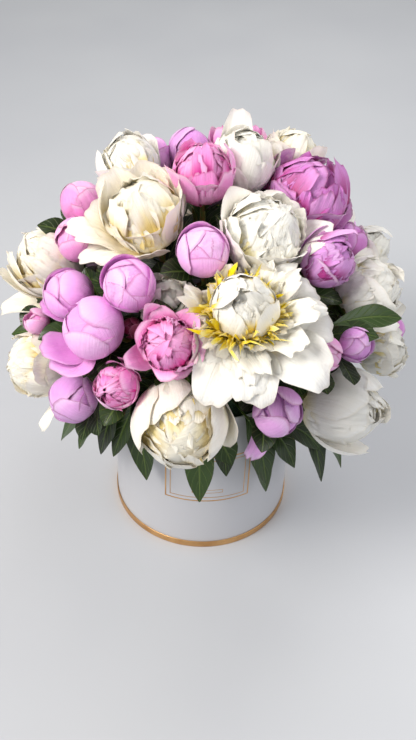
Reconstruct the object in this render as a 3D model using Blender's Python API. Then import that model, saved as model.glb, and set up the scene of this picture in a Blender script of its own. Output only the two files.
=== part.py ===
"""A bouquet of fifty peonies arranged as a dome in a round hat box.

Units are metres and +Z is up. The origin is the centre of the box's flat underside, and the box's
front faces -Y. The box is a card tube standing in a shallow gold tray. Inside it a plastic liner
holds floral foam, and the foam's domed top takes every stem. The stems all aim away from one point,
the heart of the bouquet, so the heads close into a dome.
"""

import math
from typing import NamedTuple

import bmesh
import bpy
from mathutils import Matrix, Vector

GAP = 0.0003

# Hat box: a card tube that stands inside the lip of its tray.
BOX_RADIUS = 0.100
BOX_HEIGHT = 0.200
CARD_THICKNESS = 0.002
TRAY_FLOOR = 0.002
TRAY_LIP_THICKNESS = 0.001
TRAY_LIP_HEIGHT = 0.009
BOX_SIDES = 48

# Liner and foam.
LINER_THICKNESS = 0.0012
LINER_TOP = 0.186
FOAM_SHOULDER = 0.185
FOAM_DOME_RADIUS = 0.085
FOAM_DOME_STEPS = 5
FOAM_SIDES = 24

# The heart of the bouquet, which every stem points away from, and the dome that the heads touch.
HEART = Vector((0.0, 0.0, FOAM_SHOULDER))
DOME_CENTRE = Vector((0.0, 0.004, 0.240))
DOME_RADIUS = 0.216

# Stems. A stem's foot stays far enough from the heart to leave foam between it and its neighbours.
STEM_RADIUS = 0.0028
STEM_SIDES = 8
SHALLOWEST_FOOT = 0.036
FOOT_SPACING = 0.0078
HOLE_MOUTH = 0.100

# A head's solid is a little narrower than the bloom, because the outermost petals are loose.
HEAD_SHARE = 0.9
NECK_HEIGHT = -1.18
CALYX = (0.30, -0.98)

# Each form's outline as (radius, height) shares of the head's radius, from the calyx to the crown,
# and the height of the crown on the axis.
HEAD_OUTLINES = {
    "ball": ([(0.62, -0.78), (0.92, -0.38), (1.00, 0.02), (0.90, 0.42), (0.56, 0.80)], 0.97),
    "bud": ([(0.60, -0.78), (0.88, -0.40), (0.93, 0.00), (0.74, 0.48), (0.40, 0.84)], 0.98),
    "globe": ([(0.60, -0.79), (0.93, -0.36), (0.99, 0.06), (0.84, 0.52), (0.52, 0.78)], 0.62),
    "bomb": ([(0.64, -0.72), (0.99, -0.10), (0.90, 0.10), (0.80, 0.50), (0.46, 0.84)], 0.97),
    "double": ([(0.60, -0.76), (0.94, -0.32), (1.00, 0.04), (0.86, 0.46), (0.50, 0.72)], 0.78),
    "rose": ([(0.55, -0.80), (0.82, -0.42), (0.93, 0.04), (0.97, 0.22), (0.60, 0.56)], 0.62),
    "cup": ([(0.55, -0.80), (0.84, -0.42), (0.90, 0.04), (0.80, 0.50), (0.58, 0.74)], 0.50),
    "open": ([(0.52, -0.74), (0.86, -0.36), (0.98, 0.10), (0.84, 0.34), (0.50, 0.52)], 0.66),
    "tight": ([(0.62, -0.76), (0.90, -0.36), (0.94, 0.02), (0.72, 0.48), (0.38, 0.84)], 0.98),
}


class Bloom(NamedTuple):
    """One cut peony: azimuth from the front towards +X and elevation of its stem, in degrees, the
    bloom's diameter in millimetres, and how many millimetres it is sunk below the dome."""

    form: str
    colour: str
    azimuth: float
    elevation: float
    diameter: float
    sunk: float = 0.0


# The crown of the dome, then its shoulder, then the collar over the box's rim.
BLOOMS = (
    Bloom("double", "pink", -53, 87, 54),
    Bloom("globe", "white", 135, 80, 58),
    Bloom("bomb", "cream", -54, 71, 68),
    Bloom("bomb", "white", 37, 70, 69),
    Bloom("globe", "white", -119, 67, 56),
    Bloom("ball", "blush", -3, 66, 46),
    Bloom("bud", "mauve", -165, 66, 43, 12),
    Bloom("double", "magenta", 100, 66, 79),
    Bloom("rose", "pink", 166, 62, 58),
    Bloom("double", "cream", 138, 61, 59, -6),
    Bloom("bud", "blush", -144, 61, 46, 12),
    Bloom("bud", "pink", -87, 59, 42),
    Bloom("open", "white", -20, 58, 34, 40),
    Bloom("double", "mauve", 56, 57, 49),
    Bloom("bud", "pink", -71, 55, 40, 8),
    Bloom("ball", "blush", -31, 55, 48, -3),
    Bloom("open", "cream", 16, 51, 80, -15),
    Bloom("bud", "magenta", 95, 50, 38, 22),
    Bloom("tight", "wine", -30, 47, 20, 40),
    Bloom("ball", "blush", -54, 46, 46),
    Bloom("rose", "pink", -12, 45, 50, -6),
    Bloom("double", "cream", -81, 43, 65),
    Bloom("ball", "blush", -37, 43, 54, -10),
    Bloom("double", "white", 72, 43, 62),
    Bloom("bud", "magenta", 180, 41, 62),
    Bloom("open", "white", 103, 40, 47, 8),
    Bloom("ball", "blush", 124, 40, 54, 20),
    Bloom("double", "white", 150, 40, 70),
    Bloom("bomb", "cream", -151, 40, 70),
    Bloom("ball", "blush", -124, 40, 54, 16),
    Bloom("ball", "pink", 38, 39, 31, 6),
    Bloom("bud", "mauve", 50, 37, 33),
    Bloom("double", "mauve", -98, 33, 54, 14),
    Bloom("tight", "pink", -66, 32, 24, 14),
    Bloom("cup", "pink", -26, 32, 42, 3),
    Bloom("bud", "mauve", 22, 28, 44, 4),
    Bloom("globe", "cream", -7, 25, 82),
    Bloom("bud", "mauve", -40, 23, 45),
    Bloom("double", "cream", -63, 20, 62),
    Bloom("double", "white", 79, 18, 46, 8),
    Bloom("double", "cream", -179, 18, 72),
    Bloom("double", "pink", -90, 18, 52, 26),
    Bloom("globe", "white", 137, 18, 72),
    Bloom("globe", "white", -134, 18, 72),
    Bloom("globe", "white", 49, 17, 76),
    Bloom("bud", "magenta", 91, 17, 36, 6),
    Bloom("double", "blush", 113, 17, 66),
    Bloom("bud", "pink", 160, 17, 62),
    Bloom("ball", "blush", -156, 17, 66),
    Bloom("bud", "mauve", -111, 17, 60),
)

# Leaf sprays: a leaf stalk leaves the foam just over the rim and forks into drooping leaflets.
STALK_RADIUS = 0.0016
STALK_FOOT = 0.050
STALK_ELEVATION = 11.0
STALK_LENGTH = 0.117
FORK_START = 0.104
FORK_SPACING = 0.003
LEAF_HALF_WIDTH = 0.0145
LEAF_HALF_THICKNESS = 0.0007
LEAF_STATIONS = 6
# A leaflet's parabola bends at a point this far out and this much above its start, eased halfway
# back to the straight line, and its widest place lies a little towards the stalk.
LEAF_BEND_SHARE = 0.94
LEAF_BEND_RISE = 0.004
LEAF_WIDEST_POWER = 0.85

# Each spray's stalk azimuth, and its leaflets' tips as azimuth, radius and height in millimetres.
LEAF_SPRAYS = {
    "front_left": (-50, [(-70, 165, 118), (-61, 152, 124), (-50, 140, 134), (-28, 122, 116)]),
    "front": (-4, [(-13, 128, 158), (0, 131, 111), (14, 130, 164)]),
    "front_right": (24, [(32, 132, 122), (37, 119, 92), (46, 138, 132), (57, 150, 146)]),
    "right": (63, [(56, 158, 104), (66, 168, 106), (82, 146, 140)]),
    "back_right": (150, [(132, 142, 140), (150, 150, 118), (168, 140, 142)]),
    "back_left": (-122, [(-102, 142, 136), (-121, 152, 116), (-142, 140, 142)]),
}

PETAL_COLOURS = {
    "white": (0.86, 0.85, 0.82),
    "cream": (0.84, 0.79, 0.66),
    "blush": (0.88, 0.60, 0.86),
    "pink": (0.78, 0.32, 0.58),
    "magenta": (0.50, 0.12, 0.36),
    "mauve": (0.55, 0.30, 0.52),
    "wine": (0.22, 0.04, 0.06),
}


def finish(name: str, colour: tuple, roughness: float, metallic: float = 0.0) -> bpy.types.Material:
    """A Principled material of this name, made once."""
    if name in bpy.data.materials:
        return bpy.data.materials[name]
    material = bpy.data.materials.new(name)
    material.use_nodes = True
    shader = material.node_tree.nodes["Principled BSDF"]
    shader.inputs["Base Color"].default_value = (*colour, 1.0)
    shader.inputs["Roughness"].default_value = roughness
    shader.inputs["Metallic"].default_value = metallic
    material.diffuse_color = (*colour, 1.0)
    return material


def add_object(name: str, shape: bmesh.types.BMesh, material=None) -> bpy.types.Object:
    """Turns a bmesh into a named object, shaded smooth with its hard edges kept."""
    bmesh.ops.recalc_face_normals(shape, faces=shape.faces)
    mesh = bpy.data.meshes.new(name)
    shape.to_mesh(mesh)
    shape.free()
    mesh.shade_smooth()
    mesh.set_sharp_from_angle(angle=math.radians(40.0))
    if material:
        mesh.materials.append(material)
    piece = bpy.data.objects.new(name, mesh)
    bpy.context.scene.collection.objects.link(piece)
    return piece


def hide_helper(helper: bpy.types.Object) -> None:
    """Keeps a cutter or a joined-in shape out of the finished model."""
    helper.hide_render = True
    helper.display_type = "WIRE"


def add_boolean(piece: bpy.types.Object, operation: str, operand: bpy.types.Object) -> None:
    """Joins or cuts a piece with a helper object."""
    boolean = piece.modifiers.new(operand.name, "BOOLEAN")
    boolean.operation = operation
    boolean.solver = "EXACT"
    boolean.object = operand


def turn(shape: bmesh.types.BMesh, outline: list, sides: int, place: Matrix, ring: bool) -> None:
    """Turns an outline of (radius, height) points about Z and puts the solid at a place.

    An outline that starts and ends on the axis gives a solid body, and ring joins its last point
    to its first for a tube.
    """
    verts = [shape.verts.new((radius, 0.0, height)) for radius, height in outline]
    edges = [shape.edges.new(pair) for pair in zip(verts, verts[1:])]
    if ring:
        edges.append(shape.edges.new((verts[-1], verts[0])))
    before = set(shape.verts) - set(verts)
    bmesh.ops.spin(
        shape, geom=verts + edges, cent=(0.0, 0.0, 0.0), axis=(0.0, 0.0, 1.0),
        angle=math.tau, steps=sides, use_merge=True,
    )
    made = [vert for vert in shape.verts if vert not in before]
    bmesh.ops.transform(shape, matrix=place, verts=made)
    bmesh.ops.remove_doubles(shape, verts=made, dist=1e-6)


def add_turned(name: str, outline: list, sides: int, material, ring: bool = False) -> bpy.types.Object:
    """A turned piece that stands upright on the box's axis."""
    shape = bmesh.new()
    turn(shape, outline, sides, Matrix(), ring)
    return add_object(name, shape, material)


def direction(azimuth: float, elevation: float) -> Vector:
    """The unit vector at an azimuth from -Y towards +X and an elevation, both in degrees."""
    around, up = math.radians(azimuth), math.radians(elevation)
    return Vector((math.cos(up) * math.sin(around), -math.cos(up) * math.cos(around), math.sin(up)))


def along(azimuth: float, elevation: float) -> Matrix:
    """The placement that stands a turned piece on the heart, pointing in a direction."""
    aim = direction(azimuth, elevation).to_track_quat("Z", "Y")
    return Matrix.Translation(HEART) @ aim.to_matrix().to_4x4()


def head_distance(bloom: Bloom) -> float:
    """How far the head's centre lies from the heart for the head to touch the dome from inside."""
    aim = direction(bloom.azimuth, bloom.elevation)
    offset = HEART - DOME_CENTRE
    reach = DOME_RADIUS - (bloom.diameter / 2 + bloom.sunk) / 1000
    slope = offset.dot(aim)
    return -slope + math.sqrt(slope ** 2 - offset.length_squared + reach ** 2)


def foot_distance(bloom: Bloom) -> float:
    """How far the stem's foot lies from the heart, so that its nearest neighbour stays clear."""
    aim = direction(bloom.azimuth, bloom.elevation)
    others = [direction(other.azimuth, other.elevation) for other in BLOOMS if other is not bloom]
    nearest = min(aim.angle(other) for other in others)
    return max(SHALLOWEST_FOOT, FOOT_SPACING / nearest)


def make_box() -> None:
    """The card tube and the shallow gold tray it stands in."""
    card = finish("satin_card", (0.80, 0.80, 0.81), 0.38)
    gold = finish("gold_foil_card", (0.78, 0.58, 0.38), 0.28, 0.9)
    inner = BOX_RADIUS - CARD_THICKNESS
    bottom = TRAY_FLOOR + GAP
    wall = [(inner, BOX_HEIGHT), (inner, bottom), (BOX_RADIUS, bottom), (BOX_RADIUS, BOX_HEIGHT)]
    add_turned("box_wall", wall, BOX_SIDES, card, ring=True)
    lip_inner = BOX_RADIUS + GAP / math.cos(math.pi / BOX_SIDES)
    lip_outer = lip_inner + TRAY_LIP_THICKNESS
    tray = [
        (0.0, TRAY_FLOOR), (lip_inner, TRAY_FLOOR), (lip_inner, TRAY_LIP_HEIGHT),
        (lip_outer, TRAY_LIP_HEIGHT), (lip_outer, 0.0), (0.0, 0.0),
    ]
    add_turned("base_tray", tray, BOX_SIDES, gold)


def make_liner() -> float:
    """The waterproof liner cup. Returns its inner radius."""
    plastic = finish("liner_plastic", (0.72, 0.74, 0.74), 0.35)
    outer = (BOX_RADIUS - CARD_THICKNESS) * math.cos(math.pi / BOX_SIDES) - GAP
    inner = outer - LINER_THICKNESS
    bottom = TRAY_FLOOR + GAP
    floor = bottom + LINER_THICKNESS
    cup = [
        (0.0, floor), (inner, floor), (inner, LINER_TOP),
        (outer, LINER_TOP), (outer, bottom), (0.0, bottom),
    ]
    add_turned("liner", cup, BOX_SIDES, plastic)
    return inner * math.cos(math.pi / BOX_SIDES)


def make_foam(liner_inner: float) -> None:
    """The block of foam with a domed top, drilled for every stem and leaf stalk."""
    foam_green = finish("floral_foam", (0.06, 0.14, 0.07), 0.95)
    radius = liner_inner - GAP
    bottom = TRAY_FLOOR + GAP + LINER_THICKNESS + GAP
    outline = [(0.0, bottom), (radius, bottom), (radius, FOAM_SHOULDER)]
    for step in range(FOAM_DOME_STEPS):
        rise = math.pi / 2 * step / FOAM_DOME_STEPS
        height = FOAM_SHOULDER + FOAM_DOME_RADIUS * math.sin(rise)
        outline.append((FOAM_DOME_RADIUS * math.cos(rise), height))
    outline.append((0.0, FOAM_SHOULDER + FOAM_DOME_RADIUS))
    foam = add_turned("floral_foam", outline, FOAM_SIDES, foam_green)
    add_boolean(foam, "DIFFERENCE", make_hole_cutter())


def make_hole_cutter() -> bpy.types.Object:
    """One hidden cutter that holds a hole for each stem and stalk, a gap wider than it all round."""
    shape = bmesh.new()
    rods = [(bloom.azimuth, bloom.elevation, STEM_RADIUS, foot_distance(bloom)) for bloom in BLOOMS]
    for azimuth, _ in LEAF_SPRAYS.values():
        rods.append((azimuth, STALK_ELEVATION, STALK_RADIUS, STALK_FOOT))
    for azimuth, elevation, radius, foot in rods:
        wide = radius + GAP / math.cos(math.pi / STEM_SIDES)
        hole = [(0.0, foot - GAP), (wide, foot - GAP), (wide, HOLE_MOUTH), (0.0, HOLE_MOUTH)]
        turn(shape, hole, STEM_SIDES, along(azimuth, elevation), ring=False)
    cutter = add_object("stem_holes", shape)
    hide_helper(cutter)
    return cutter


def make_peony(number: int, bloom: Bloom) -> None:
    """One cut peony as a single turned solid: stem, calyx and head."""
    petals = finish(f"petals_{bloom.colour}", PETAL_COLOURS[bloom.colour], 0.55)
    head_radius = HEAD_SHARE * bloom.diameter / 2000
    centre = head_distance(bloom)
    foot = foot_distance(bloom)
    shares, crown = HEAD_OUTLINES[bloom.form]
    outline = [(0.0, foot), (STEM_RADIUS, foot), (STEM_RADIUS, centre + NECK_HEIGHT * head_radius)]
    for across, up in [CALYX, *shares]:
        outline.append((across * head_radius, centre + up * head_radius))
    outline.append((0.0, centre + crown * head_radius))
    shape = bmesh.new()
    turn(shape, outline, STEM_SIDES, along(bloom.azimuth, bloom.elevation), ring=False)
    add_object(f"peony_{number:02d}_{bloom.colour}_{bloom.form}", shape, petals)


def add_leaflet(name: str, start: Vector, tip: tuple) -> bpy.types.Object:
    """A hidden leaflet blade that droops along a parabola from its start to its tip.

    Its width follows a half sine, so it is widest in the middle, and its section is a flat rhombus.
    """
    azimuth, radius, height = tip
    outward = direction(azimuth, 0.0)
    end = outward * radius / 1000 + Vector((0.0, 0.0, height / 1000))
    high = outward * radius * LEAF_BEND_SHARE / 1000 + Vector((0.0, 0.0, start.z + LEAF_BEND_RISE))
    bend = high.lerp(start.lerp(end, 0.5), 0.5)
    upper = (outward + Vector((0.0, 0.0, 1.0))).normalized()
    shape = bmesh.new()
    sections = []
    for station in range(1, LEAF_STATIONS):
        t = station / LEAF_STATIONS
        point = start * (1 - t) ** 2 + bend * 2 * t * (1 - t) + end * t ** 2
        run = ((bend - start) * (1 - t) + (end - bend) * t).normalized()
        side = run.cross(upper).normalized()
        face = side.cross(run)
        half = LEAF_HALF_WIDTH * math.sin(math.pi * t ** LEAF_WIDEST_POWER)
        corners = (side * half, face * LEAF_HALF_THICKNESS, -side * half, -face * LEAF_HALF_THICKNESS)
        sections.append([shape.verts.new(point + corner) for corner in corners])
    base, point_vert = shape.verts.new(start), shape.verts.new(end)
    for corner in range(4):
        following = (corner + 1) % 4
        shape.faces.new((base, sections[0][corner], sections[0][following]))
        for near, far in zip(sections, sections[1:]):
            shape.faces.new((near[corner], far[corner], far[following], near[following]))
        shape.faces.new((point_vert, sections[-1][following], sections[-1][corner]))
    leaflet = add_object(name, shape)
    hide_helper(leaflet)
    return leaflet


def make_leaf_spray(name: str, azimuth: float, tips: list) -> None:
    """A leaf stalk over the rim with its leaflets joined on."""
    green = finish("leaf_green", (0.05, 0.13, 0.03), 0.45)
    rod = [(0.0, STALK_FOOT), (STALK_RADIUS, STALK_FOOT), (STALK_RADIUS, STALK_LENGTH), (0.0, STALK_LENGTH)]
    shape = bmesh.new()
    turn(shape, rod, STEM_SIDES, along(azimuth, STALK_ELEVATION), ring=False)
    spray = add_object(f"leaf_spray_{name}", shape, green)
    for index, tip in enumerate(tips):
        start = HEART + direction(azimuth, STALK_ELEVATION) * (FORK_START + index * FORK_SPACING)
        add_boolean(spray, "UNION", add_leaflet(f"leaflet_{name}_{index + 1}", start, tip))


def main() -> None:
    for leftover in list(bpy.data.objects):
        bpy.data.objects.remove(leftover)
    make_box()
    make_foam(make_liner())
    for number, bloom in enumerate(BLOOMS, start=1):
        make_peony(number, bloom)
    for name, (azimuth, tips) in LEAF_SPRAYS.items():
        make_leaf_spray(name, azimuth, tips)


main()
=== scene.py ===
"""The looks of a bouquet of fifty peonies in a round hat box.

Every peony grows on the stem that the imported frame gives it: its petals are thin closed sheets, laid
out whorl by whorl from the outer guards to the crowded heart. Metres throughout, +Z up, and the front
of the box faces -Y.
"""

import logging
import math
from dataclasses import dataclass, field, replace
from enum import Enum

import bpy
import numpy as np
from mathutils import Matrix, Vector


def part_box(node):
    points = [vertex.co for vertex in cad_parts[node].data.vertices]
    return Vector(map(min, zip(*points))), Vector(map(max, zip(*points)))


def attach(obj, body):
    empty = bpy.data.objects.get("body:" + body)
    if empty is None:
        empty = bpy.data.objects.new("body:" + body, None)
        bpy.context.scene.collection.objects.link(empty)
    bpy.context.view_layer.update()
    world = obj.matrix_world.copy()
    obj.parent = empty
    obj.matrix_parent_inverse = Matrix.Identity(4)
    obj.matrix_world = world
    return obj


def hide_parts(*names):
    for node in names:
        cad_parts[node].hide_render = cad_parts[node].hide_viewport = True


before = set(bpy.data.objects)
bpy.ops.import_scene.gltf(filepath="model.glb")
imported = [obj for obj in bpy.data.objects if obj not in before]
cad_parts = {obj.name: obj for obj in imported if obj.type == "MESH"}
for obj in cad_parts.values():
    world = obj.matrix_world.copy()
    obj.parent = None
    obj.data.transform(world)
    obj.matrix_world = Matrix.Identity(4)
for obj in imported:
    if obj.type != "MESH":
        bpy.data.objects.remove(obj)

Array = np.ndarray
LOG = logging.getLogger("bouquet")

BODY = "root"
SEED = 50
MM = 0.001
GOLDEN_TURN = math.pi * (3.0 - math.sqrt(5.0))
PETAL_UV = "petal"
TONE = "tone"

# The way that is up for someone who looks down at the bouquet's front, so that a clock angle round a
# head, 0 at the right and 90 at the top, means the same on every flower.
VIEW_UP = np.array([0.0, 0.659, 0.752])


# --- Colours and nodes ------------------------------------------------------------------------------


def linear(code: str) -> tuple[float, float, float, float]:
    """Turn an sRGB hex colour into the linear colour that shaders take.

    Args:
        code: The colour as "#rrggbb".

    Returns:
        Linear red, green, blue and an alpha of 1.
    """
    parts = [int(code[start:start + 2], 16) / 255 for start in (1, 3, 5)]
    red, green, blue = (c / 12.92 if c <= 0.04045 else ((c + 0.055) / 1.055) ** 2.4 for c in parts)
    return red, green, blue, 1.0


def add_node(
    tree: bpy.types.NodeTree, kind: str, inputs: dict | None = None, **settings: object,
) -> bpy.types.Node:
    """Add a shader node with its settings and its inputs.

    Args:
        tree: The node tree to add to.
        kind: Blender's name of the node's type.
        inputs: Socket name or index to a value, or to what it is linked from: an output, or a node
            that stands for its first output in use.
        **settings: Properties of the node itself.

    Returns:
        The new node.
    """
    node = tree.nodes.new(kind)
    for name, value in settings.items():
        setattr(node, name, value)
    for key, value in (inputs or {}).items():
        if isinstance(value, bpy.types.Node):
            value = next(output for output in value.outputs if output.enabled)
        if isinstance(value, bpy.types.NodeSocket):
            tree.links.new(value, node.inputs[key])
        else:
            node.inputs[key].default_value = value
    return node


def fill_ramp(node: bpy.types.Node, stops: list[tuple[float, str]]) -> bpy.types.Node:
    """Set a colour ramp's stops.

    Args:
        node: The ramp node.
        stops: Positions and sRGB hex colours, in order.

    Returns:
        The same node.
    """
    elements = node.color_ramp.elements
    while len(elements) < len(stops):
        elements.new(0.5)
    for element, (place, code) in zip(elements, stops):
        element.position = place
        element.color = linear(code)
    return node


def new_surface(
    name: str, **sockets: object,
) -> tuple[bpy.types.Material, bpy.types.NodeTree, bpy.types.Node]:
    """Start a Principled material whose uniform values are set on the shader's own sockets.

    Args:
        name: The material's name.
        **sockets: Socket names with underscores for spaces, and their values.

    Returns:
        The material, its node tree and its shader.
    """
    material = bpy.data.materials.new(name)
    material.use_nodes = True
    tree = material.node_tree
    tree.nodes.clear()
    values = {key.replace("_", " "): value for key, value in sockets.items()}
    shader = add_node(tree, "ShaderNodeBsdfPrincipled", values)
    add_node(tree, "ShaderNodeOutputMaterial", {"Surface": shader.outputs[0]})
    return material, tree, shader


def in_object(tree: bpy.types.NodeTree) -> bpy.types.NodeSocket:
    """The object's own coordinates, which are the bouquet's in metres."""
    return add_node(tree, "ShaderNodeTexCoord").outputs["Object"]


def dress(
    tree: bpy.types.NodeTree, shader: bpy.types.Node, colour: bpy.types.Node,
    height: bpy.types.Node | None, strength: float, distance: float, invert: bool = False,
) -> None:
    """Lead a colour and a relief to the shader.

    Args:
        tree: The node tree.
        shader: The Principled shader.
        colour: The node that gives the colour.
        height: The node that gives the relief, or None for a level surface.
        strength: How strongly the relief shows.
        distance: The relief's depth in metres.
        invert: Whether high values lie low.
    """
    source = next(output for output in colour.outputs if output.enabled)
    tree.links.new(source, shader.inputs["Base Color"])
    if height is not None:
        inputs = {"Strength": strength, "Distance": distance, "Height": height}
        bump = add_node(tree, "ShaderNodeBump", inputs, invert=invert)
        tree.links.new(bump.outputs[0], shader.inputs["Normal"])


@dataclass
class SheetMaps:
    """What a material reads from a petal or a leaf: how far across and along it a point lies and how
    far off its middle, the sheet's tint and depth in the flower, and which side the point is on."""

    tree: bpy.types.NodeTree

    def __post_init__(self) -> None:
        """Add the nodes that read the maps."""
        self.uv = add_node(self.tree, "ShaderNodeUVMap", uv_map=PETAL_UV).outputs[0]
        across, self.along, _ = add_node(self.tree, "ShaderNodeSeparateXYZ", {0: self.uv}).outputs
        self.tone = add_node(self.tree, "ShaderNodeAttribute", attribute_name=TONE).outputs["Vector"]
        split = add_node(self.tree, "ShaderNodeSeparateXYZ", {0: self.tone})
        self.tint, self.depth, self.side = split.outputs
        centred = add_node(
            self.tree, "ShaderNodeMath", {0: across, 1: 2.0, 2: -1.0}, operation="MULTIPLY_ADD",
        )
        self.off_middle = add_node(self.tree, "ShaderNodeMath", {0: centred}, operation="ABSOLUTE")


# --- Finishes ---------------------------------------------------------------------------------------


@dataclass(frozen=True)
class PetalFinish:
    """Fresh peony petal: moist matt tissue with fine veins along it and a soft glow through it.

    The colour runs from the claw at the root to the rim, and petals nearer the heart show more of the
    root's colour. Veins are about 1 mm apart, drawn half as many so that they show. The crepe of the
    tissue is about 6 mm from crest to crest.
    """

    name: str
    root: str
    body: str
    rim: str
    vein: str
    edge: str
    glow: float = 0.22
    vein_strength: float = 0.14
    flame: float = 0.42
    vein_grid: tuple[float, float, float] = (30.0, 2.2, 1.0)
    crepe_scale: float = 170.0

    def build(self) -> bpy.types.Material:
        """Make the material."""
        material, tree, shader = new_surface(
            self.name, Roughness=0.5, IOR=1.4, Subsurface_Weight=self.glow, Subsurface_Scale=0.0018,
            Subsurface_Radius=(1.0, 0.92, 0.85), Sheen_Weight=0.12, Sheen_Roughness=0.4,
        )
        maps = SheetMaps(tree)
        along = add_node(
            tree, "ShaderNodeMath", {0: maps.depth, 1: -0.24, 2: maps.along}, operation="MULTIPLY_ADD",
        )
        stops = [
            (0.0, self.root), (self.flame / 3, self.root), (self.flame, self.body), (0.84, self.body),
            (1.0, self.rim),
        ]
        gradient = fill_ramp(add_node(tree, "ShaderNodeValToRGB", {0: along}), stops)
        streak_place = add_node(
            tree, "ShaderNodeVectorMath", {0: maps.uv, 1: self.vein_grid, 2: maps.tone},
            operation="MULTIPLY_ADD",
        )
        streaks = add_node(tree, "ShaderNodeTexNoise", {"Vector": streak_place, "Scale": 1.0, "Detail": 3.0})
        vein_mask = add_node(
            tree, "ShaderNodeMapRange", {0: streaks, 1: 0.48, 2: 0.72, 3: 0.0, 4: self.vein_strength},
        )
        veined = add_node(
            tree, "ShaderNodeMix", {0: vein_mask, 6: gradient, 7: linear(self.vein)}, data_type="RGBA",
        )
        nearest = add_node(
            tree, "ShaderNodeMath", {0: maps.off_middle, 1: maps.along}, operation="MAXIMUM",
        )
        rim_line = add_node(tree, "ShaderNodeMapRange", {0: nearest, 1: 0.955, 2: 1.0, 3: 0.0, 4: 0.75})
        edged = add_node(
            tree, "ShaderNodeMix", {0: rim_line, 6: veined, 7: linear(self.edge)}, data_type="RGBA",
        )
        value = add_node(tree, "ShaderNodeMapRange", {0: maps.tint, 1: 0.0, 2: 1.0, 3: 0.93, 4: 1.04})
        strength = add_node(tree, "ShaderNodeMapRange", {0: maps.tint, 1: 0.0, 2: 1.0, 3: 1.12, 4: 0.9})
        toned = add_node(
            tree, "ShaderNodeHueSaturation", {"Saturation": strength, "Value": value, "Color": edged},
        )
        crepe = add_node(
            tree, "ShaderNodeTexNoise", {"Vector": in_object(tree), "Scale": self.crepe_scale, "Detail": 2.0},
        )
        relief = add_node(tree, "ShaderNodeMath", {0: crepe, 1: 0.6, 2: streaks}, operation="MULTIPLY_ADD")
        dress(tree, shader, toned, relief, 0.55, 0.0012)
        return material


@dataclass(frozen=True)
class LeafFinish:
    """Peony leaf: waxy dark green above with a pale midrib and side veins, duller and greyer below.

    A leaflet some 60 mm long has eight pairs of side veins, and its green clouds every 20 mm or so.
    """

    name: str = "waxy_leaf"
    blade: str = "#14220a"
    young: str = "#30471a"
    rib: str = "#5e7334"
    below: str = "#5e7146"
    side_veins: float = 8.0
    slant: float = -0.22
    cloud_scale: float = 45.0

    def build(self) -> bpy.types.Material:
        """Make the material."""
        material, tree, shader = new_surface(
            self.name, Roughness=0.34, IOR=1.42, Subsurface_Weight=0.05, Subsurface_Scale=0.002,
        )
        maps = SheetMaps(tree)
        slant = add_node(
            tree, "ShaderNodeMath", {0: maps.off_middle, 1: self.slant, 2: maps.along},
            operation="MULTIPLY_ADD",
        )
        phase = add_node(
            tree, "ShaderNodeMath", {0: slant, 1: self.side_veins * math.tau}, operation="MULTIPLY",
        )
        wave = add_node(tree, "ShaderNodeMath", {0: phase}, operation="SINE")
        side = add_node(tree, "ShaderNodeMapRange", {0: wave, 1: 0.82, 2: 1.0, 3: 0.0, 4: 0.55})
        rib = add_node(tree, "ShaderNodeMapRange", {0: maps.off_middle, 1: 0.04, 2: 0.1, 3: 1.0, 4: 0.0})
        veins = add_node(tree, "ShaderNodeMath", {0: side, 1: rib}, operation="MAXIMUM")
        cloud = add_node(
            tree, "ShaderNodeTexNoise", {"Vector": in_object(tree), "Scale": self.cloud_scale, "Detail": 3.0},
        )
        youth = add_node(tree, "ShaderNodeMath", {0: cloud, 1: 0.7, 2: maps.tint}, operation="MULTIPLY_ADD")
        fresh = add_node(tree, "ShaderNodeMapRange", {0: youth, 1: 0.4, 2: 1.3, 3: 0.0, 4: 1.0})
        faint = add_node(tree, "ShaderNodeMath", {0: veins, 1: 0.6}, operation="MULTIPLY")
        colour = linear(self.blade)
        for share, over in ((fresh, self.young), (maps.side, self.below), (faint, self.rib)):
            colour = add_node(
                tree, "ShaderNodeMix", {0: share, 6: colour, 7: linear(over)}, data_type="RGBA",
            )
        dress(tree, shader, colour, veins, 0.6, 0.0012, invert=True)
        return material


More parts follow.
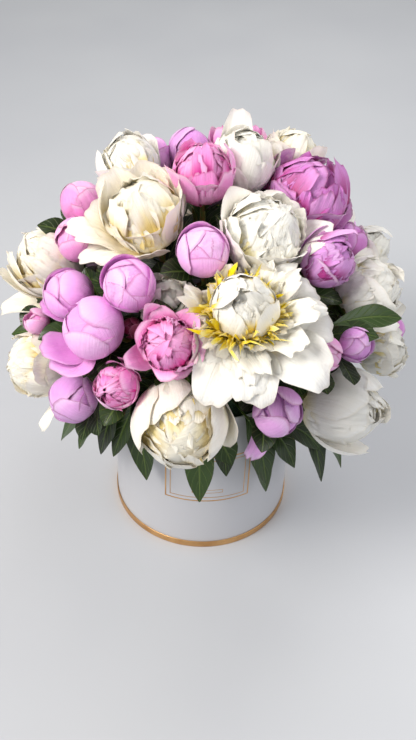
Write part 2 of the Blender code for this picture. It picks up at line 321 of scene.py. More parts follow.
@dataclass(frozen=True)
class CardFinish:
    """Satin-laminated white card: a faint paper tooth under a soft film, darker and warmer in bands at its
    top rim and its foot. Its colour is a pale grey that is painted shade, for the shadow that the flowers
    cast on the white card.

    The film clouds every 30 mm, and the tooth of the paper is 0.7 mm.
    """

    name: str = "satin_laminated_card"
    # The sheet colour is painted shade: a pale grey in place of the white card's own colour, for the shadow
    # the flowers cast on the box.
    sheet: str = "#c3c4ca"
    # A darker, warmer grey that clouds into the sheet colour and fills bands at the top rim and at the foot.
    edge_tone: str = "#bdbab4"
    low: float = 0.0
    high: float = 0.2
    rim_band: float = 0.004
    foot_band: float = 0.012
    cloud_scale: float = 35.0
    tooth_scale: float = 1400.0

    def build(self) -> bpy.types.Material:
        """Make the material."""
        material, tree, shader = new_surface(
            self.name, Roughness=0.38, IOR=1.5, Coat_Weight=0.25, Coat_Roughness=0.28,
        )
        place = in_object(tree)
        mottle = add_node(
            tree, "ShaderNodeTexNoise", {"Vector": place, "Scale": self.cloud_scale, "Detail": 5.0},
        )
        height = add_node(tree, "ShaderNodeSeparateXYZ", {0: place}).outputs[2]
        rim = add_node(
            tree, "ShaderNodeMapRange",
            {0: height, 1: self.high - self.rim_band, 2: self.high, 3: 0.0, 4: 0.8},
        )
        foot = add_node(
            tree, "ShaderNodeMapRange",
            {0: height, 1: self.low, 2: self.low + self.foot_band, 3: 0.5, 4: 0.0},
        )
        # Darker bands over the top 4 mm of the rim and the lowest 12 mm by the foot, broken up by the clouds.
        edges = add_node(tree, "ShaderNodeMath", {0: rim, 1: foot}, operation="MAXIMUM")
        edge_clouds = add_node(tree, "ShaderNodeMath", {0: edges, 1: mottle}, operation="MULTIPLY")
        cloudy = add_node(tree, "ShaderNodeMath", {0: mottle, 1: 0.16, 2: edge_clouds}, operation="MULTIPLY_ADD")
        # The colour starts from the grey sheet colour, which is painted shade for the flowers' shadow on the
        # card.
        colour = add_node(
            tree, "ShaderNodeMix", {0: cloudy, 6: linear(self.sheet), 7: linear(self.edge_tone)},
            data_type="RGBA",
        )
        tooth = add_node(
            tree, "ShaderNodeTexNoise", {"Vector": place, "Scale": self.tooth_scale, "Detail": 2.0},
        )
        gloss = add_node(tree, "ShaderNodeMapRange", {0: mottle, 1: 0.3, 2: 0.7, 3: 0.33, 4: 0.43})
        tree.links.new(gloss.outputs[0], shader.inputs["Roughness"])
        dress(tree, shader, colour, tooth, 0.12, 0.0002)
        return material


@dataclass(frozen=True)
class FoilFinish:
    """Hot-stamped gold foil on card: warm metal, softened by the card's 2.4 mm grain under it."""

    name: str = "gold_foil"
    metal: str = "#d6aa74"
    dull: str = "#ba8a56"
    grain_scale: float = 420.0
    cloud_scale: float = 40.0

    def build(self) -> bpy.types.Material:
        """Make the material."""
        material, tree, shader = new_surface(self.name, Roughness=0.34, Metallic=0.85)
        place = in_object(tree)
        grain, cloud = (
            add_node(tree, "ShaderNodeTexNoise", {"Vector": place, "Scale": scale, "Detail": detail})
            for scale, detail in ((self.grain_scale, 3.0), (self.cloud_scale, 2.0))
        )
        colour = fill_ramp(
            add_node(tree, "ShaderNodeValToRGB", {0: cloud}), [(0.35, self.metal), (0.75, self.dull)],
        )
        gloss = add_node(tree, "ShaderNodeMapRange", {0: grain, 1: 0.3, 2: 0.7, 3: 0.28, 4: 0.46})
        tree.links.new(gloss.outputs[0], shader.inputs["Roughness"])
        dress(tree, shader, colour, grain, 0.15, 0.0003)
        return material


@dataclass(frozen=True)
class MottledFinish:
    """A finish whose two colours and whose relief follow one pattern: clouds, or open cells."""

    name: str
    stops: tuple[tuple[float, str], ...]
    scale: float
    sockets: tuple[tuple[str, float], ...]
    detail: float = 2.0
    strength: float = 0.0
    distance: float = 0.001
    cells: bool = False

    def build(self) -> bpy.types.Material:
        """Make the material."""
        material, tree, shader = new_surface(self.name, **dict(self.sockets))
        inputs = {"Vector": in_object(tree), "Scale": self.scale}
        if self.cells:
            pattern = add_node(tree, "ShaderNodeTexVoronoi", inputs)
        else:
            pattern = add_node(tree, "ShaderNodeTexNoise", inputs | {"Detail": self.detail})
        colour = fill_ramp(add_node(tree, "ShaderNodeValToRGB", {0: pattern}), list(self.stops))
        dress(tree, shader, colour, pattern if self.strength else None, self.strength, self.distance)
        return material


# Peony stem and sepals: smooth green skin flushed with red, in patches about 10 mm long.
STEM_SKIN = MottledFinish(
    "stem_skin", ((0.42, "#5d7a35"), (0.7, "#7a4a38")), 90.0,
    (("Roughness", 0.42), ("IOR", 1.45), ("Subsurface_Weight", 0.06)), 4.0, 0.3, 0.0005,
)
# Wet phenolic floral foam: dark green, pitted with open cells drawn at about 2 mm, so that they show.
WET_FOAM = MottledFinish(
    "wet_floral_foam", ((0.15, "#14241a"), (0.6, "#2f4a33")), 500.0, (("Roughness", 0.88),),
    strength=0.8, cells=True,
)
# Vacuum-formed polypropylene: milky and rippled every 17 mm or so where the sheet cooled.
LINER_SHEET = MottledFinish(
    "milky_liner_sheet", ((0.3, "#c9cfcf"), (0.7, "#b4bcbb")), 60.0,
    (("Roughness", 0.3), ("IOR", 1.49), ("Subsurface_Weight", 0.2)), strength=0.2,
)
# Rolled matt floor paint: an even pale grey that clouds every 300 mm.
FLOOR_PAINT = MottledFinish(
    "matt_floor_paint", ((0.3, "#bec1c6"), (0.7, "#b8bbc1")), 3.0, (("Roughness", 0.55),),
)


# --- Meshes -----------------------------------------------------------------------------------------


def finish_piece(piece: bpy.types.Object, material: bpy.types.Material, nodes: list[str]) -> None:
    """Dress a piece, hang it on the frame and hide the CAD nodes that it replaces.

    Args:
        piece: The new object.
        material: Its finish.
        nodes: The CAD nodes that it replaces.
    """
    piece.data.materials.append(material)
    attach(piece, BODY)
    if nodes:
        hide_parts(*nodes)
    LOG.info("%s: %d faces", piece.name, len(piece.data.polygons))


def write_mesh(
    name: str, points: Array, quads: Array, tris: Array | None = None,
    uv: Array | None = None, tone: Array | None = None, sharp: float = 65.0,
) -> bpy.types.Object:
    """Put arrays of points and faces into a new smooth object whose hard edges stay hard.

    Args:
        name: The piece's name.
        points: (n, 3) places in metres.
        quads: (m, 4) corners, counter-clockwise from outside.
        tris: (k, 3) corners, for the fans at poles.
        uv: (n, 2) map of each point.
        tone: (n, 3) tint, depth and side of each point.
        sharp: Edges that bend more than this many degrees stay hard.

    Returns:
        The linked object.
    """
    mesh = bpy.data.meshes.new(name)
    corners = quads.ravel()
    starts = np.arange(len(quads)) * 4
    if tris is not None:
        starts = np.concatenate([starts, len(corners) + np.arange(len(tris)) * 3])
        corners = np.concatenate([corners, tris.ravel()])
    mesh.vertices.add(len(points))
    mesh.vertices.foreach_set("co", points.astype(np.float32).ravel())
    mesh.loops.add(len(corners))
    mesh.loops.foreach_set("vertex_index", corners.astype(np.int32))
    mesh.polygons.add(len(starts))
    mesh.polygons.foreach_set("loop_start", starts.astype(np.int32))
    if uv is not None:
        layer = mesh.uv_layers.new(name=PETAL_UV)
        layer.data.foreach_set("uv", uv[corners].astype(np.float32).ravel())
    if tone is not None:
        values = mesh.attributes.new(TONE, "FLOAT_VECTOR", "POINT")
        values.data.foreach_set("vector", tone.astype(np.float32).ravel())
    mesh.update(calc_edges=True)
    mesh.validate()
    mesh.shade_smooth()
    mesh.set_sharp_from_angle(angle=math.radians(sharp))
    piece = bpy.data.objects.new(name, mesh)
    bpy.context.scene.collection.objects.link(piece)
    return piece


@dataclass
class Sheets:
    """Thin closed sheets gathered into one mesh. Each has a front grid and a back grid that share
    their rim, so the sheet swells from a knife edge to its full thickness."""

    points: list[Array] = field(default_factory=list)
    quads: list[Array] = field(default_factory=list)
    uv: list[Array] = field(default_factory=list)
    tone: list[Array] = field(default_factory=list)
    count: int = 0

    def add(self, front: Array, thickness: float, tint: Array, depth: float) -> None:
        """Add sheets of one grid size.

        The back is the front moved against its normal by thickness times (1 - u^6)(1 - w^6), where u
        and w run from -1 to 1 across and along the sheet.

        Args:
            front: (n, rows, columns, 3) points of the front faces.
            thickness: The sheets' thickness in the middle.
            tint: (n,) a number from 0 to 1 for each sheet.
            depth: How far in the flower the sheets lie, 0 outside to 1 at the heart.
        """
        n, rows, columns = front.shape[:3]
        along, across = np.gradient(front, axis=1), np.gradient(front, axis=2)
        normal = np.cross(across, along)
        normal /= np.linalg.norm(normal, axis=-1, keepdims=True) + 1e-12
        u = np.linspace(-1.0, 1.0, columns)[None, :]
        w = np.linspace(-1.0, 1.0, rows)[:, None]
        swell = (1 - u ** 6) * (1 - w ** 6) * thickness
        back = (front - normal * swell[None, :, :, None])[:, 1:-1, 1:-1]
        per_sheet = rows * columns + (rows - 2) * (columns - 2)
        both = np.concatenate([front.reshape(n, -1, 3), back.reshape(n, -1, 3)], axis=1)
        front_id = np.arange(rows * columns).reshape(rows, columns)
        back_id = front_id.copy()
        back_id[1:-1, 1:-1] = rows * columns + np.arange((rows - 2) * (columns - 2)).reshape(rows - 2, -1)
        faces = np.concatenate([grid_quads(front_id), grid_quads(back_id)[:, ::-1]])
        first = self.count + np.arange(n) * per_sheet
        grid_uv = np.stack(np.broadcast_arrays((u + 1) / 2, (w + 1) / 2), axis=-1)
        one_uv = np.concatenate([grid_uv.reshape(-1, 2), grid_uv[1:-1, 1:-1].reshape(-1, 2)])
        side = np.concatenate([np.zeros(rows * columns), np.ones((rows - 2) * (columns - 2))])
        tone = np.stack(np.broadcast_arrays(tint[:, None], depth, side[None, :]), axis=-1)
        self.points.append(both.reshape(-1, 3))
        self.quads.append((faces[None] + first[:, None, None]).reshape(-1, 4))
        self.uv.append(np.tile(one_uv, (n, 1)))
        self.tone.append(tone.reshape(-1, 3))
        self.count += n * per_sheet

    def write(self, name: str) -> bpy.types.Object:
        """Write every sheet into one named object."""
        return write_mesh(
            name, np.concatenate(self.points), np.concatenate(self.quads),
            uv=np.concatenate(self.uv), tone=np.concatenate(self.tone),
        )


def grid_quads(ids: Array) -> Array:
    """Join a (rows, columns) grid of point numbers into quads facing (next column) x (next row)."""
    return np.stack([ids[:-1, :-1], ids[:-1, 1:], ids[1:, 1:], ids[1:, :-1]], axis=-1).reshape(-1, 4)


def closed(ids: Array) -> Array:
    """Repeat a grid's first column after its last, so that its rows close into rings."""
    return np.concatenate([ids, ids[:, :1]], axis=1)


def fans(ids: Array, first: int, last: int) -> Array:
    """Close a tube's ends: triangles from its first ring to one point and its last ring to another."""
    low, high = ids[0], ids[-1]
    near = np.stack([low[1:], low[:-1], np.full(len(low) - 1, first)], axis=-1)
    far = np.stack([high[:-1], high[1:], np.full(len(low) - 1, last)], axis=-1)
    return np.concatenate([near, far])


def join(parts: list[tuple[Array, Array]]) -> tuple[Array, Array]:
    """Gather several parts' points and quads into one mesh's."""
    firsts = np.cumsum([0] + [len(points) for points, _ in parts])
    quads = [part[1] + first for part, first in zip(parts, firsts)]
    return np.concatenate([points for points, _ in parts]), np.concatenate(quads)


def turned(name: str, outline: Array, sides: int, sharp: float = 35.0) -> bpy.types.Object:
    """Turn an outline about +Z: point (r, z) goes to (r cos a, r sin a, z) for each angle a.

    Args:
        name: The piece's name.
        outline: (k, 2) radius and height, running up the outer side. It closes on itself, or on the
            axis where its first and last radius are 0.
        sides: How many steps the turn takes.
        sharp: Edges that bend more than this many degrees stay hard.

    Returns:
        The closed object.
    """
    angle = np.linspace(0.0, math.tau, sides, endpoint=False)[None, :]
    on_axis = outline[0, 0] == 0.0
    body = outline[1:-1] if on_axis else outline
    radius, height = body[:, :1], body[:, 1:]
    points = np.stack([radius * np.cos(angle), radius * np.sin(angle), height + 0 * angle], axis=-1)
    points = points.reshape(-1, 3)
    ids = closed(np.arange(len(body) * sides).reshape(len(body), sides))
    if not on_axis:
        return write_mesh(name, points, grid_quads(np.concatenate([ids, ids[:1]])), sharp=sharp)
    tris = fans(ids, len(points), len(points) + 1)
    points = np.concatenate([points, [[0, 0, outline[0, 1]], [0, 0, outline[-1, 1]]]])
    return write_mesh(name, points, grid_quads(ids), tris, sharp=sharp)


def tube(path: Array, radius: Array, sides: int = 10) -> tuple[Array, Array, Array]:
    """Carry a circle along a path. Its ends close in fans.

    Args:
        path: (k, 3) points.
        radius: (k,) radius at each point.
        sides: Points round the circle.

    Returns:
        Points, quads and triangles.
    """
    run = np.gradient(path, axis=0)
    run /= np.linalg.norm(run, axis=1, keepdims=True)
    helper = np.where(np.abs(run[:, 2:]) < 0.9, [[0.0, 0.0, 1.0]], [[1.0, 0.0, 0.0]])
    side = np.cross(helper[:1].repeat(len(path), axis=0), run)
    side /= np.linalg.norm(side, axis=1, keepdims=True)
    other = np.cross(run, side)
    angle = np.linspace(0.0, math.tau, sides, endpoint=False)
    ring = side[:, None] * np.cos(angle)[None, :, None] + other[:, None] * np.sin(angle)[None, :, None]
    points = (path[:, None] + ring * radius[:, None, None]).reshape(-1, 3)
    ids = closed(np.arange(len(points)).reshape(len(path), sides))
    tris = fans(ids, len(points), len(points) + 1)
    return np.concatenate([points, path[[0, -1]]]), grid_quads(ids), tris


# --- Petals -----------------------------------------------------------------------------------------


# How finely a petal's spine is summed, where along it a petal is widest and its rim begins, the
# twist that every petal has, and how far its sides may curl, in radians.
SPINE_STEPS = 40
WIDEST_AT = 0.62
RIM_FROM = 0.72
LEAST_TWIST = 0.02
MOST_CUPPED = 2.4


def sample(table: Array, place: Array) -> Array:
    """Read each row of a table at places between its columns, by straight lines.

    Args:
        table: (n, k) values.
        place: (n, rows, columns) places from 0 to k - 1.

    Returns:
        (n, rows, columns) values.
    """
    low = np.clip(place.astype(int), 0, table.shape[1] - 2)
    part = place - low
    row = np.arange(len(table))[:, None, None]
    return table[row, low] * (1 - part) + table[row, low + 1] * part


@dataclass(frozen=True)
class Whorl:
    """One whorl of petals. Lengths are shares of the head's radius, and angles are in degrees.

    A petal's spine starts at the root, at (root, lift) out from and up the head's axis, and its
    tangent turns through the listed angles, 0 outwards and 90 up. Across the spine the petal is an
    arc whose curvature runs from cup[0] at the root to cup[1] at the tip. The last petal turns and
    reaches further than the first by the share climb, most of it late where crowding is above 1, and
    petals towards the favoured clock angle are longer by the favoured share. In a spiral each petal
    follows by the golden angle and is smaller than the last by nest; stagger scatters that size.

    A petal's outline narrows to its claw, is rounded at the tip and torn by notches. Its surface
    takes ruffles in so many waves, pleats, a frill at the rim, a lip that rolls out, and a twist; curl
    scatters its curvature, wander everything else. Thickness is in mm, and grid is rows and columns.
    """

    count: int
    root: float
    lift: float
    turn: tuple[float, ...]
    length: float
    width: float
    cup: tuple[float, float] = (1.0, 1.0)
    start: float = 0.0
    spiral: bool = False
    nest: float = 0.0
    lean: float = 0.0
    climb: float = 0.0
    favour: tuple[float, float] = (0.0, 0.0)
    ruffle: float = 0.02
    waves: float = 2.0
    pleat: float = 0.0
    curl: float = 0.5
    stagger: float = 0.0
    crowding: float = 1.0
    twist: float = 0.0
    frill: float = 0.0
    notch: float = 0.0
    lip: float = 0.0
    rounding: float = 0.3
    claw: float = 0.28
    wander: float = 0.08
    depth: float = 0.0
    thickness: float = 0.4
    grid: tuple[int, int] = (12, 11)

    def grow(self, radius: float, rng: np.random.Generator) -> Array:
        """Work out the petals' front faces in the head's own frame.

        A point at arc length t across the spine moves sin(kt)/k sideways and (1 - cos kt)/k inwards,
        for curvature k, and the relief then moves it along its normal.

        Args:
            radius: The head's radius in metres.
            rng: Source of the scatter.

        Returns:
            (count, rows, columns, 3) points.
        """
        n, (rows, columns) = self.count, self.grid
        order = np.arange(n)
        scatter = rng.normal(0.0, self.wander, (6, n))
        size = radius * (1.0 - self.nest * order + self.stagger * rng.normal(0.0, 1.0, n))
        twist = LEAST_TWIST + self.twist * rng.normal(0.0, 1.0, (n, 1, 1))
        phase = rng.uniform(0.0, math.tau, (8, n, 1, 1))
        swing = GOLDEN_TURN if self.spiral else math.tau / n
        theta = math.radians(self.start) + order * swing + scatter[0] * 1.2
        growth = 1.0 + self.climb * (order / max(1, n - 1)) ** self.crowding
        spine = self.spine(size, growth, theta, scatter)

        u = np.linspace(-1.0, 1.0, columns)[None, None, :]
        v = np.linspace(0.0, 1.0, rows)[None, :, None]
        teeth = np.sin(5.0 * u + phase[0]) + 0.7 * np.sin(11.0 * u + phase[1])
        tip = 1.0 - self.rounding * np.abs(u) ** 2.6 - self.notch * (0.5 + 0.35 * teeth)
        s = v * np.clip(tip, 0.1, 1.0)
        at_r, at_z, at_psi = (sample(table, s * (SPINE_STEPS - 1)) for table in spine)

        per_size = size[:, None, None]
        opening = np.sin(0.5 * math.pi * np.minimum(1.0, s / WIDEST_AT))
        half = self.width * per_size * (1 + scatter[3][:, None, None])
        half = half * (self.claw + (1 - self.claw) * opening)
        bend = (self.cup[0] + (self.cup[1] - self.cup[0]) * s) / per_size + 1e-6
        bend = bend * (1 + self.curl * scatter[5][:, None, None])
        beta = np.clip(bend * u * half, -MOST_CUPPED, MOST_CUPPED)
        sideways, inwards = np.sin(beta) / bend, (1 - np.cos(beta)) / bend
        push = (self.relief(u, s, phase) + twist * u) * per_size

        around = theta[:, None, None] + (self.lean + scatter[4][:, None, None]) * s
        e_r = np.stack([np.cos(around), np.sin(around), np.zeros_like(around)], axis=-1)
        e_t = np.stack([-np.sin(around), np.cos(around), np.zeros_like(around)], axis=-1)
        e_z = np.array([0.0, 0.0, 1.0])
        face = e_r * np.sin(at_psi)[..., None] - e_z * np.cos(at_psi)[..., None]
        normal = face * np.cos(beta)[..., None] + e_t * np.sin(beta)[..., None]
        points = e_r * at_r[..., None] + e_z * at_z[..., None]
        return points + e_t * sideways[..., None] - face * inwards[..., None] + normal * push[..., None]

    def spine(self, size: Array, growth: Array, theta: Array, scatter: Array) -> tuple[Array, ...]:
        """Work out the petals' spines, each the running sum of its tangent.

        Args:
            size: (count,) each petal's share of the head, in metres.
            growth: (count,) how much further each petal turns and reaches.
            theta: (count,) each petal's angle round the head.
            scatter: (6, count) the petals' scatter.

        Returns:
            The spines' radius, height and tangent angle, each (count, steps).
        """
        keys = self.turn[0] + (np.array(self.turn)[None, :] - self.turn[0]) * growth[:, None]
        keys = keys + scatter[1][:, None] * 60 * np.linspace(0.1, 1, len(self.turn))
        favour = 1.0 + self.favour[1] * np.cos(theta - math.radians(self.favour[0]))
        fine, coarse = np.linspace(0.0, 1.0, SPINE_STEPS), np.linspace(0, 1, len(self.turn))
        psi = np.radians(np.stack([np.interp(fine, coarse, row) for row in keys]))
        length = self.length * size * (1 + scatter[2]) * growth * favour
        step = length[:, None] / (SPINE_STEPS - 1)
        spine_r = self.root * size[:, None] + np.cumsum(np.cos(psi) * step, axis=1)
        spine_z = self.lift * size[:, None] + np.cumsum(np.sin(psi) * step, axis=1)
        return spine_r, spine_z, psi

    def relief(self, u: Array, s: Array, phase: Array) -> Array:
        """How far a petal stands off its smooth surface, in head radii.

        Ruffles are slow sines that grow towards the rim, the frill is a fast sine on the last part of
        the petal, pleats are folded sines |sin| along it, and the lip rolls its tip out.

        Args:
            u: Places across, -1 to 1.
            s: Places along, 0 to 1.
            phase: (8, count, 1, 1) where each sine starts.

        Returns:
            (count, rows, columns) heights.
        """
        ripple = np.abs(u) * np.sin(self.waves * math.pi * u + 7 * s + phase[2])
        ripple = ripple + 0.5 * np.sin(1.7 * self.waves * u + 4 * s + phase[3])
        ripple = ripple + 0.5 * np.sin(5 * s + phase[4]) * np.cos(2 * u + phase[5])
        crimp = np.sin(13 * u + phase[6]) + 0.6 * np.sin(23 * u + phase[7])
        creases = 1 - 2 * np.abs(np.sin(5.5 * u + phase[5] + 1.4 * s))
        creases = creases + 0.5 * (1 - 2 * np.abs(np.sin(10 * u * (1 - 0.3 * s) + phase[7])))
        rise = np.clip((s - RIM_FROM) / (1 - RIM_FROM), 0, 1)
        push = self.ruffle * s ** 1.3 * ripple + self.frill * rise ** 1.5 * crimp
        push = push + self.pleat * np.sin(math.pi * np.clip(s, 0.0, 1.0) ** 0.8 * 0.75) * creases
        return push + self.lip * rise ** 2


def wrap(
    count: int, radius: float, close: float, half: float, until: float | None = None,
    foot: float = 4.0, raised: float = 0.0, **rest: object,
) -> Whorl:
    """A spiral of petals that wrap a sphere from near its foot up to a closing angle, each a little
    inside the one before.

    Args:
        count: How many petals.
        radius: The sphere's radius, as a share of the head's.
        close: How far up the sphere the first petal's tip reaches, 180 being the top.
        half: Half the angle that a petal covers across.
        until: How far the last petal's tip reaches.
        foot: How far up the sphere the petals start.
        raised: How far the sphere's centre lies above the head's.
        **rest: The whorl's other fields.

    Returns:
        The whorl.
    """
    angle = math.radians(foot)
    settings = {
        "turn": (foot, (foot + close) / 2, close), "cup": (1 / radius, 1 / radius), "spiral": True,
        "nest": 0.006, "root": radius * math.sin(angle), "lift": raised - radius * math.cos(angle),
        "length": radius * math.radians(close - foot), "width": radius * math.radians(half),
        "climb": ((until or close) - foot) / (close - foot) - 1.0,
    }
    return Whorl(count=count, **(settings | rest))


def crumple(
    count: int, radius: float, close: float, half: float, nest: float, raised: float = 0.0,
    pleat: float = 0.03, depth: float = 0.3,
) -> Whorl:
    """The crowded heart of a double flower: small, folded and torn petals whose tips fill the dome
    from a closing angle up to its top.

    Args:
        count: How many petals.
        radius: The dome's radius, as a share of the head's.
        close: Where on the dome the first petal's tip lies.
        half: Half the angle that a petal covers across.
        nest: How much smaller each petal is than the one before.
        raised: How far the dome's centre lies above the head's.
        pleat: How deep the folds are.
        depth: How deep in the flower they lie.

    Returns:
        The whorl.
    """
    return wrap(
        count, radius, close, half, until=188, foot=close - 46, raised=raised, nest=nest,
        cup=(1.0 / radius, 0.4 / radius), ruffle=0.07, waves=1.5, frill=0.05, notch=0.15,
        rounding=0.3, lip=0.03, wander=0.16, curl=3.0, pleat=pleat, claw=0.6, depth=depth,
        stagger=0.014, twist=0.05, crowding=1.3, grid=(11, 10),
    )


def outer_row(count: int, close: float, half: float, until: float, ruffle: float, lip: float) -> Whorl:
    """The broad petals that a double flower's guards open on, as wrap's arguments say."""
    return wrap(
        count, 1.0, close, half, until=until, ruffle=ruffle, lip=lip, notch=0.05, wander=0.12,
        pleat=0.014, grid=(14, 15),
    )


def middle_row(count: int, close: float, half: float, until: float) -> Whorl:
    """The narrow torn petals between those and the crumpled heart, as wrap's arguments say."""
    return wrap(
        count, 0.965, close, half, until=until, foot=30, nest=0.003, ruffle=0.06, lip=0.04, notch=0.07,
        frill=0.03, pleat=0.016, wander=0.13, twist=0.03, depth=0.5, grid=(14, 14),
    )


def inner_ball(radius: float, depth: float = 0.45, raised: float = 0.0) -> Whorl:
    """The petals that close a heart from inside, so that no gap shows, as wrap's arguments say."""
    return wrap(
        9, radius, 150, 50, until=196, foot=60, raised=raised, pleat=0.02, ruffle=0.03, depth=depth,
    )


class Form(Enum):
    """The forms of bloom, as the frame's node names give them, each with the ring where its CAD head
    is widest: the ring's radius and height as shares of the head's radius."""

    BALL = (1.00, 0.02)
    BUD = (0.93, 0.00)
    GLOBE = (0.99, 0.06)
    BOMB = (0.99, -0.10)
    DOUBLE = (1.00, 0.04)
    ROSE = (0.97, 0.22)
    CUP = (0.90, 0.04)
    OPEN = (0.98, 0.10)
    TIGHT = (0.94, 0.02)


RECIPES: dict[Form, tuple[Whorl, ...]] = {
    Form.BALL: (
        Whorl(3, 0.08, -0.99, (-4, 54, 84, 104), 1.85, 0.85, (0.98, 1.0), lip=0.02, wander=0.1),
        wrap(
            15, 0.99, 122, 56, until=205, ruffle=0.01, lip=0.014, wander=0.05, notch=0.015,
            rounding=0.22, pleat=0.004, grid=(16, 15),
        ),
    ),
    Form.BUD: (
        Whorl(3, 0.08, -0.99, (-4, 52, 84, 102), 1.8, 0.75, (0.98, 1.0), lip=0.03, wander=0.14),
        wrap(
            13, 0.99, 116, 50, until=200, nest=0.008, lean=0.3, ruffle=0.016, lip=0.022, wander=0.08,
            notch=0.025, pleat=0.005, grid=(15, 13),
        ),
    ),
    Form.GLOBE: (
        Whorl(
            4, 0.08, -0.99, (-4, 48, 78, 88), 1.9, 0.85, (0.95, 0.9), lip=0.05, ruffle=0.03,
            notch=0.03, pleat=0.006, wander=0.14,
        ),
        wrap(
            9, 1.0, 108, 48, until=140, ruffle=0.03, lip=0.02, notch=0.04, pleat=0.01, wander=0.1,
            grid=(15, 15),
        ),
        middle_row(13, 114, 31, 154),
        crumple(30, 0.94, 136, 26, nest=0.0014, pleat=0.018, depth=0.9),
        inner_ball(0.9),
    ),
    Form.BOMB: (
        Whorl(
            5, 0.1, -0.97, (-6, 42, 72, 72, 50), 2.0, 0.8, (0.85, 0.6), ruffle=0.06, notch=0.05,
            rounding=0.26, wander=0.14, pleat=0.01, grid=(14, 15),
        ),
        outer_row(7, 84, 44, 112, 0.04, 0.03),
        middle_row(15, 98, 30, 148),
        crumple(44, 0.95, 118, 24, nest=0.0012, pleat=0.024, depth=0.9),
        inner_ball(0.91),
    ),
    Form.DOUBLE: (
        Whorl(
            5, 0.1, -0.97, (-5, 42, 74, 78, 60), 1.95, 0.8, (0.88, 0.7), ruffle=0.05, notch=0.04,
            rounding=0.26, wander=0.13, pleat=0.01, grid=(14, 15),
        ),
        outer_row(9, 92, 40, 132, 0.045, 0.04),
        middle_row(13, 104, 30, 148),
        crumple(38, 0.945, 124, 25, nest=0.0014, pleat=0.024, depth=0.9),
        inner_ball(0.89),
    ),
    Form.ROSE: (
        Whorl(
            7, 0.1, -0.96, (0, 48, 76, 62, 5), 1.95, 0.74, (0.85, 0.4), ruffle=0.04, notch=0.03,
            rounding=0.42, wander=0.12, pleat=0.008, grid=(14, 13),
        ),
        wrap(8, 0.94, 92, 42, until=112, nest=0.01, ruffle=0.05, lip=0.07, notch=0.04, wander=0.1),
        crumple(46, 0.9, 102, 20, nest=0.0016, raised=0.07, pleat=0.02, depth=0.8),
        inner_ball(0.8, 0.4, 0.08),
    ),
    Form.CUP: (
        Whorl(4, 0.1, -0.98, (-2, 52, 84, 84), 1.9, 0.8, (0.97, 0.9), lip=0.06, wander=0.12),
        wrap(
            9, 0.99, 116, 50, until=150, nest=0.008, lip=0.03, ruffle=0.02, pleat=0.006, wander=0.08,
            grid=(14, 13),
        ),
        crumple(30, 0.92, 126, 22, nest=0.003, raised=0.03, depth=1.0),
    ),
    Form.OPEN: (
        Whorl(
            8, 0.1, -0.93, (-5, 38, 62, 52, 20), 2.05, 0.76, (0.7, 0.4), ruffle=0.06, notch=0.07,
            rounding=0.24, wander=0.14, pleat=0.015, grid=(14, 15),
        ),
        wrap(
            10, 0.95, 94, 38, until=122, ruffle=0.07, lip=0.06, notch=0.07, pleat=0.014, wander=0.14,
            depth=0.2,
        ),
        crumple(42, 0.93, 108, 24, nest=0.0014, raised=0.03, pleat=0.024, depth=0.9),
        inner_ball(0.84),
    ),
    Form.TIGHT: (
        wrap(10, 1.0, 124, 48, until=200, nest=0.014, ruffle=0.02, lip=0.03, wander=0.09, notch=0.03),
    ),
}

# A globe whose large smooth outer petals reach far over its heart, their rims torn.
HOODED = (
    Whorl(
        4, 0.08, -0.99, (-4, 48, 80, 94), 1.85, 0.85, (0.97, 0.95), lip=0.04, ruffle=0.03, notch=0.04,
        pleat=0.008, wander=0.12,
    ),
    wrap(
        9, 1.0, 122, 54, until=160, nest=0.01, ruffle=0.035, frill=0.02, lip=0.02, notch=0.07,
        pleat=0.012, wander=0.1, twist=0.02, grid=(17, 16),
    ),
    crumple(34, 0.9, 138, 22, nest=0.002, raised=0.02, pleat=0.02, depth=1.3),
    inner_ball(0.84, 1.0),
)

# The one bloom that is wide open: rows of ragged guards, longest towards the viewer's lower right,
# a feathery row inside them, and a ball of petals at its heart.
SHOW_BLOOM = (
    Whorl(
        9, 0.12, -0.8, (-4, 38, 48, 12, -34), 1.62, 0.6, (0.6, 0.2), favour=(332, 0.45), ruffle=0.07,
        notch=0.07, rounding=0.28, wander=0.12, frill=0.014, pleat=0.014, grid=(22, 19),
    ),
    Whorl(
        9, 0.1, -0.75, (0, 46, 54, 24, -15), 1.52, 0.48, (0.6, 0.2), start=20, favour=(332, 0.36),
        ruffle=0.09, notch=0.1, frill=0.02, rounding=0.28, wander=0.18, pleat=0.02, grid=(20, 17),
        depth=0.1,
    ),
    Whorl(
        17, 0.12, -0.65, (5, 48, 58, 40, 8), 1.42, 0.3, (0.9, 0.4), start=35, favour=(350, 0.16),
        ruffle=0.12, waves=1.5, notch=0.1, frill=0.035, rounding=0.16, lean=0.1, wander=0.17, pleat=0.02,
        twist=0.05, grid=(16, 13), depth=0.2,
    ),
    Whorl(
        15, 0.2, -0.5, (10, 54, 66, 50), 1.26, 0.24, (1.3, 0.6), start=8, favour=(200, 0.14),
        ruffle=0.14, waves=1.5, notch=0.14, frill=0.05, rounding=0.16, wander=0.18, pleat=0.02, curl=2.0,
        twist=0.06, grid=(14, 11), depth=0.8,
    ),
    wrap(
        11, 0.68, 116, 54, until=172, raised=0.38, nest=0.009, ruffle=0.045, lip=0.03, notch=0.06,
        pleat=0.01, frill=0.02, wander=0.12, grid=(16, 15),
    ),
    crumple(16, 0.66, 150, 26, nest=0.0016, raised=0.4, pleat=0.012, depth=0.2),
    inner_ball(0.57, 0.0, 0.4),
)

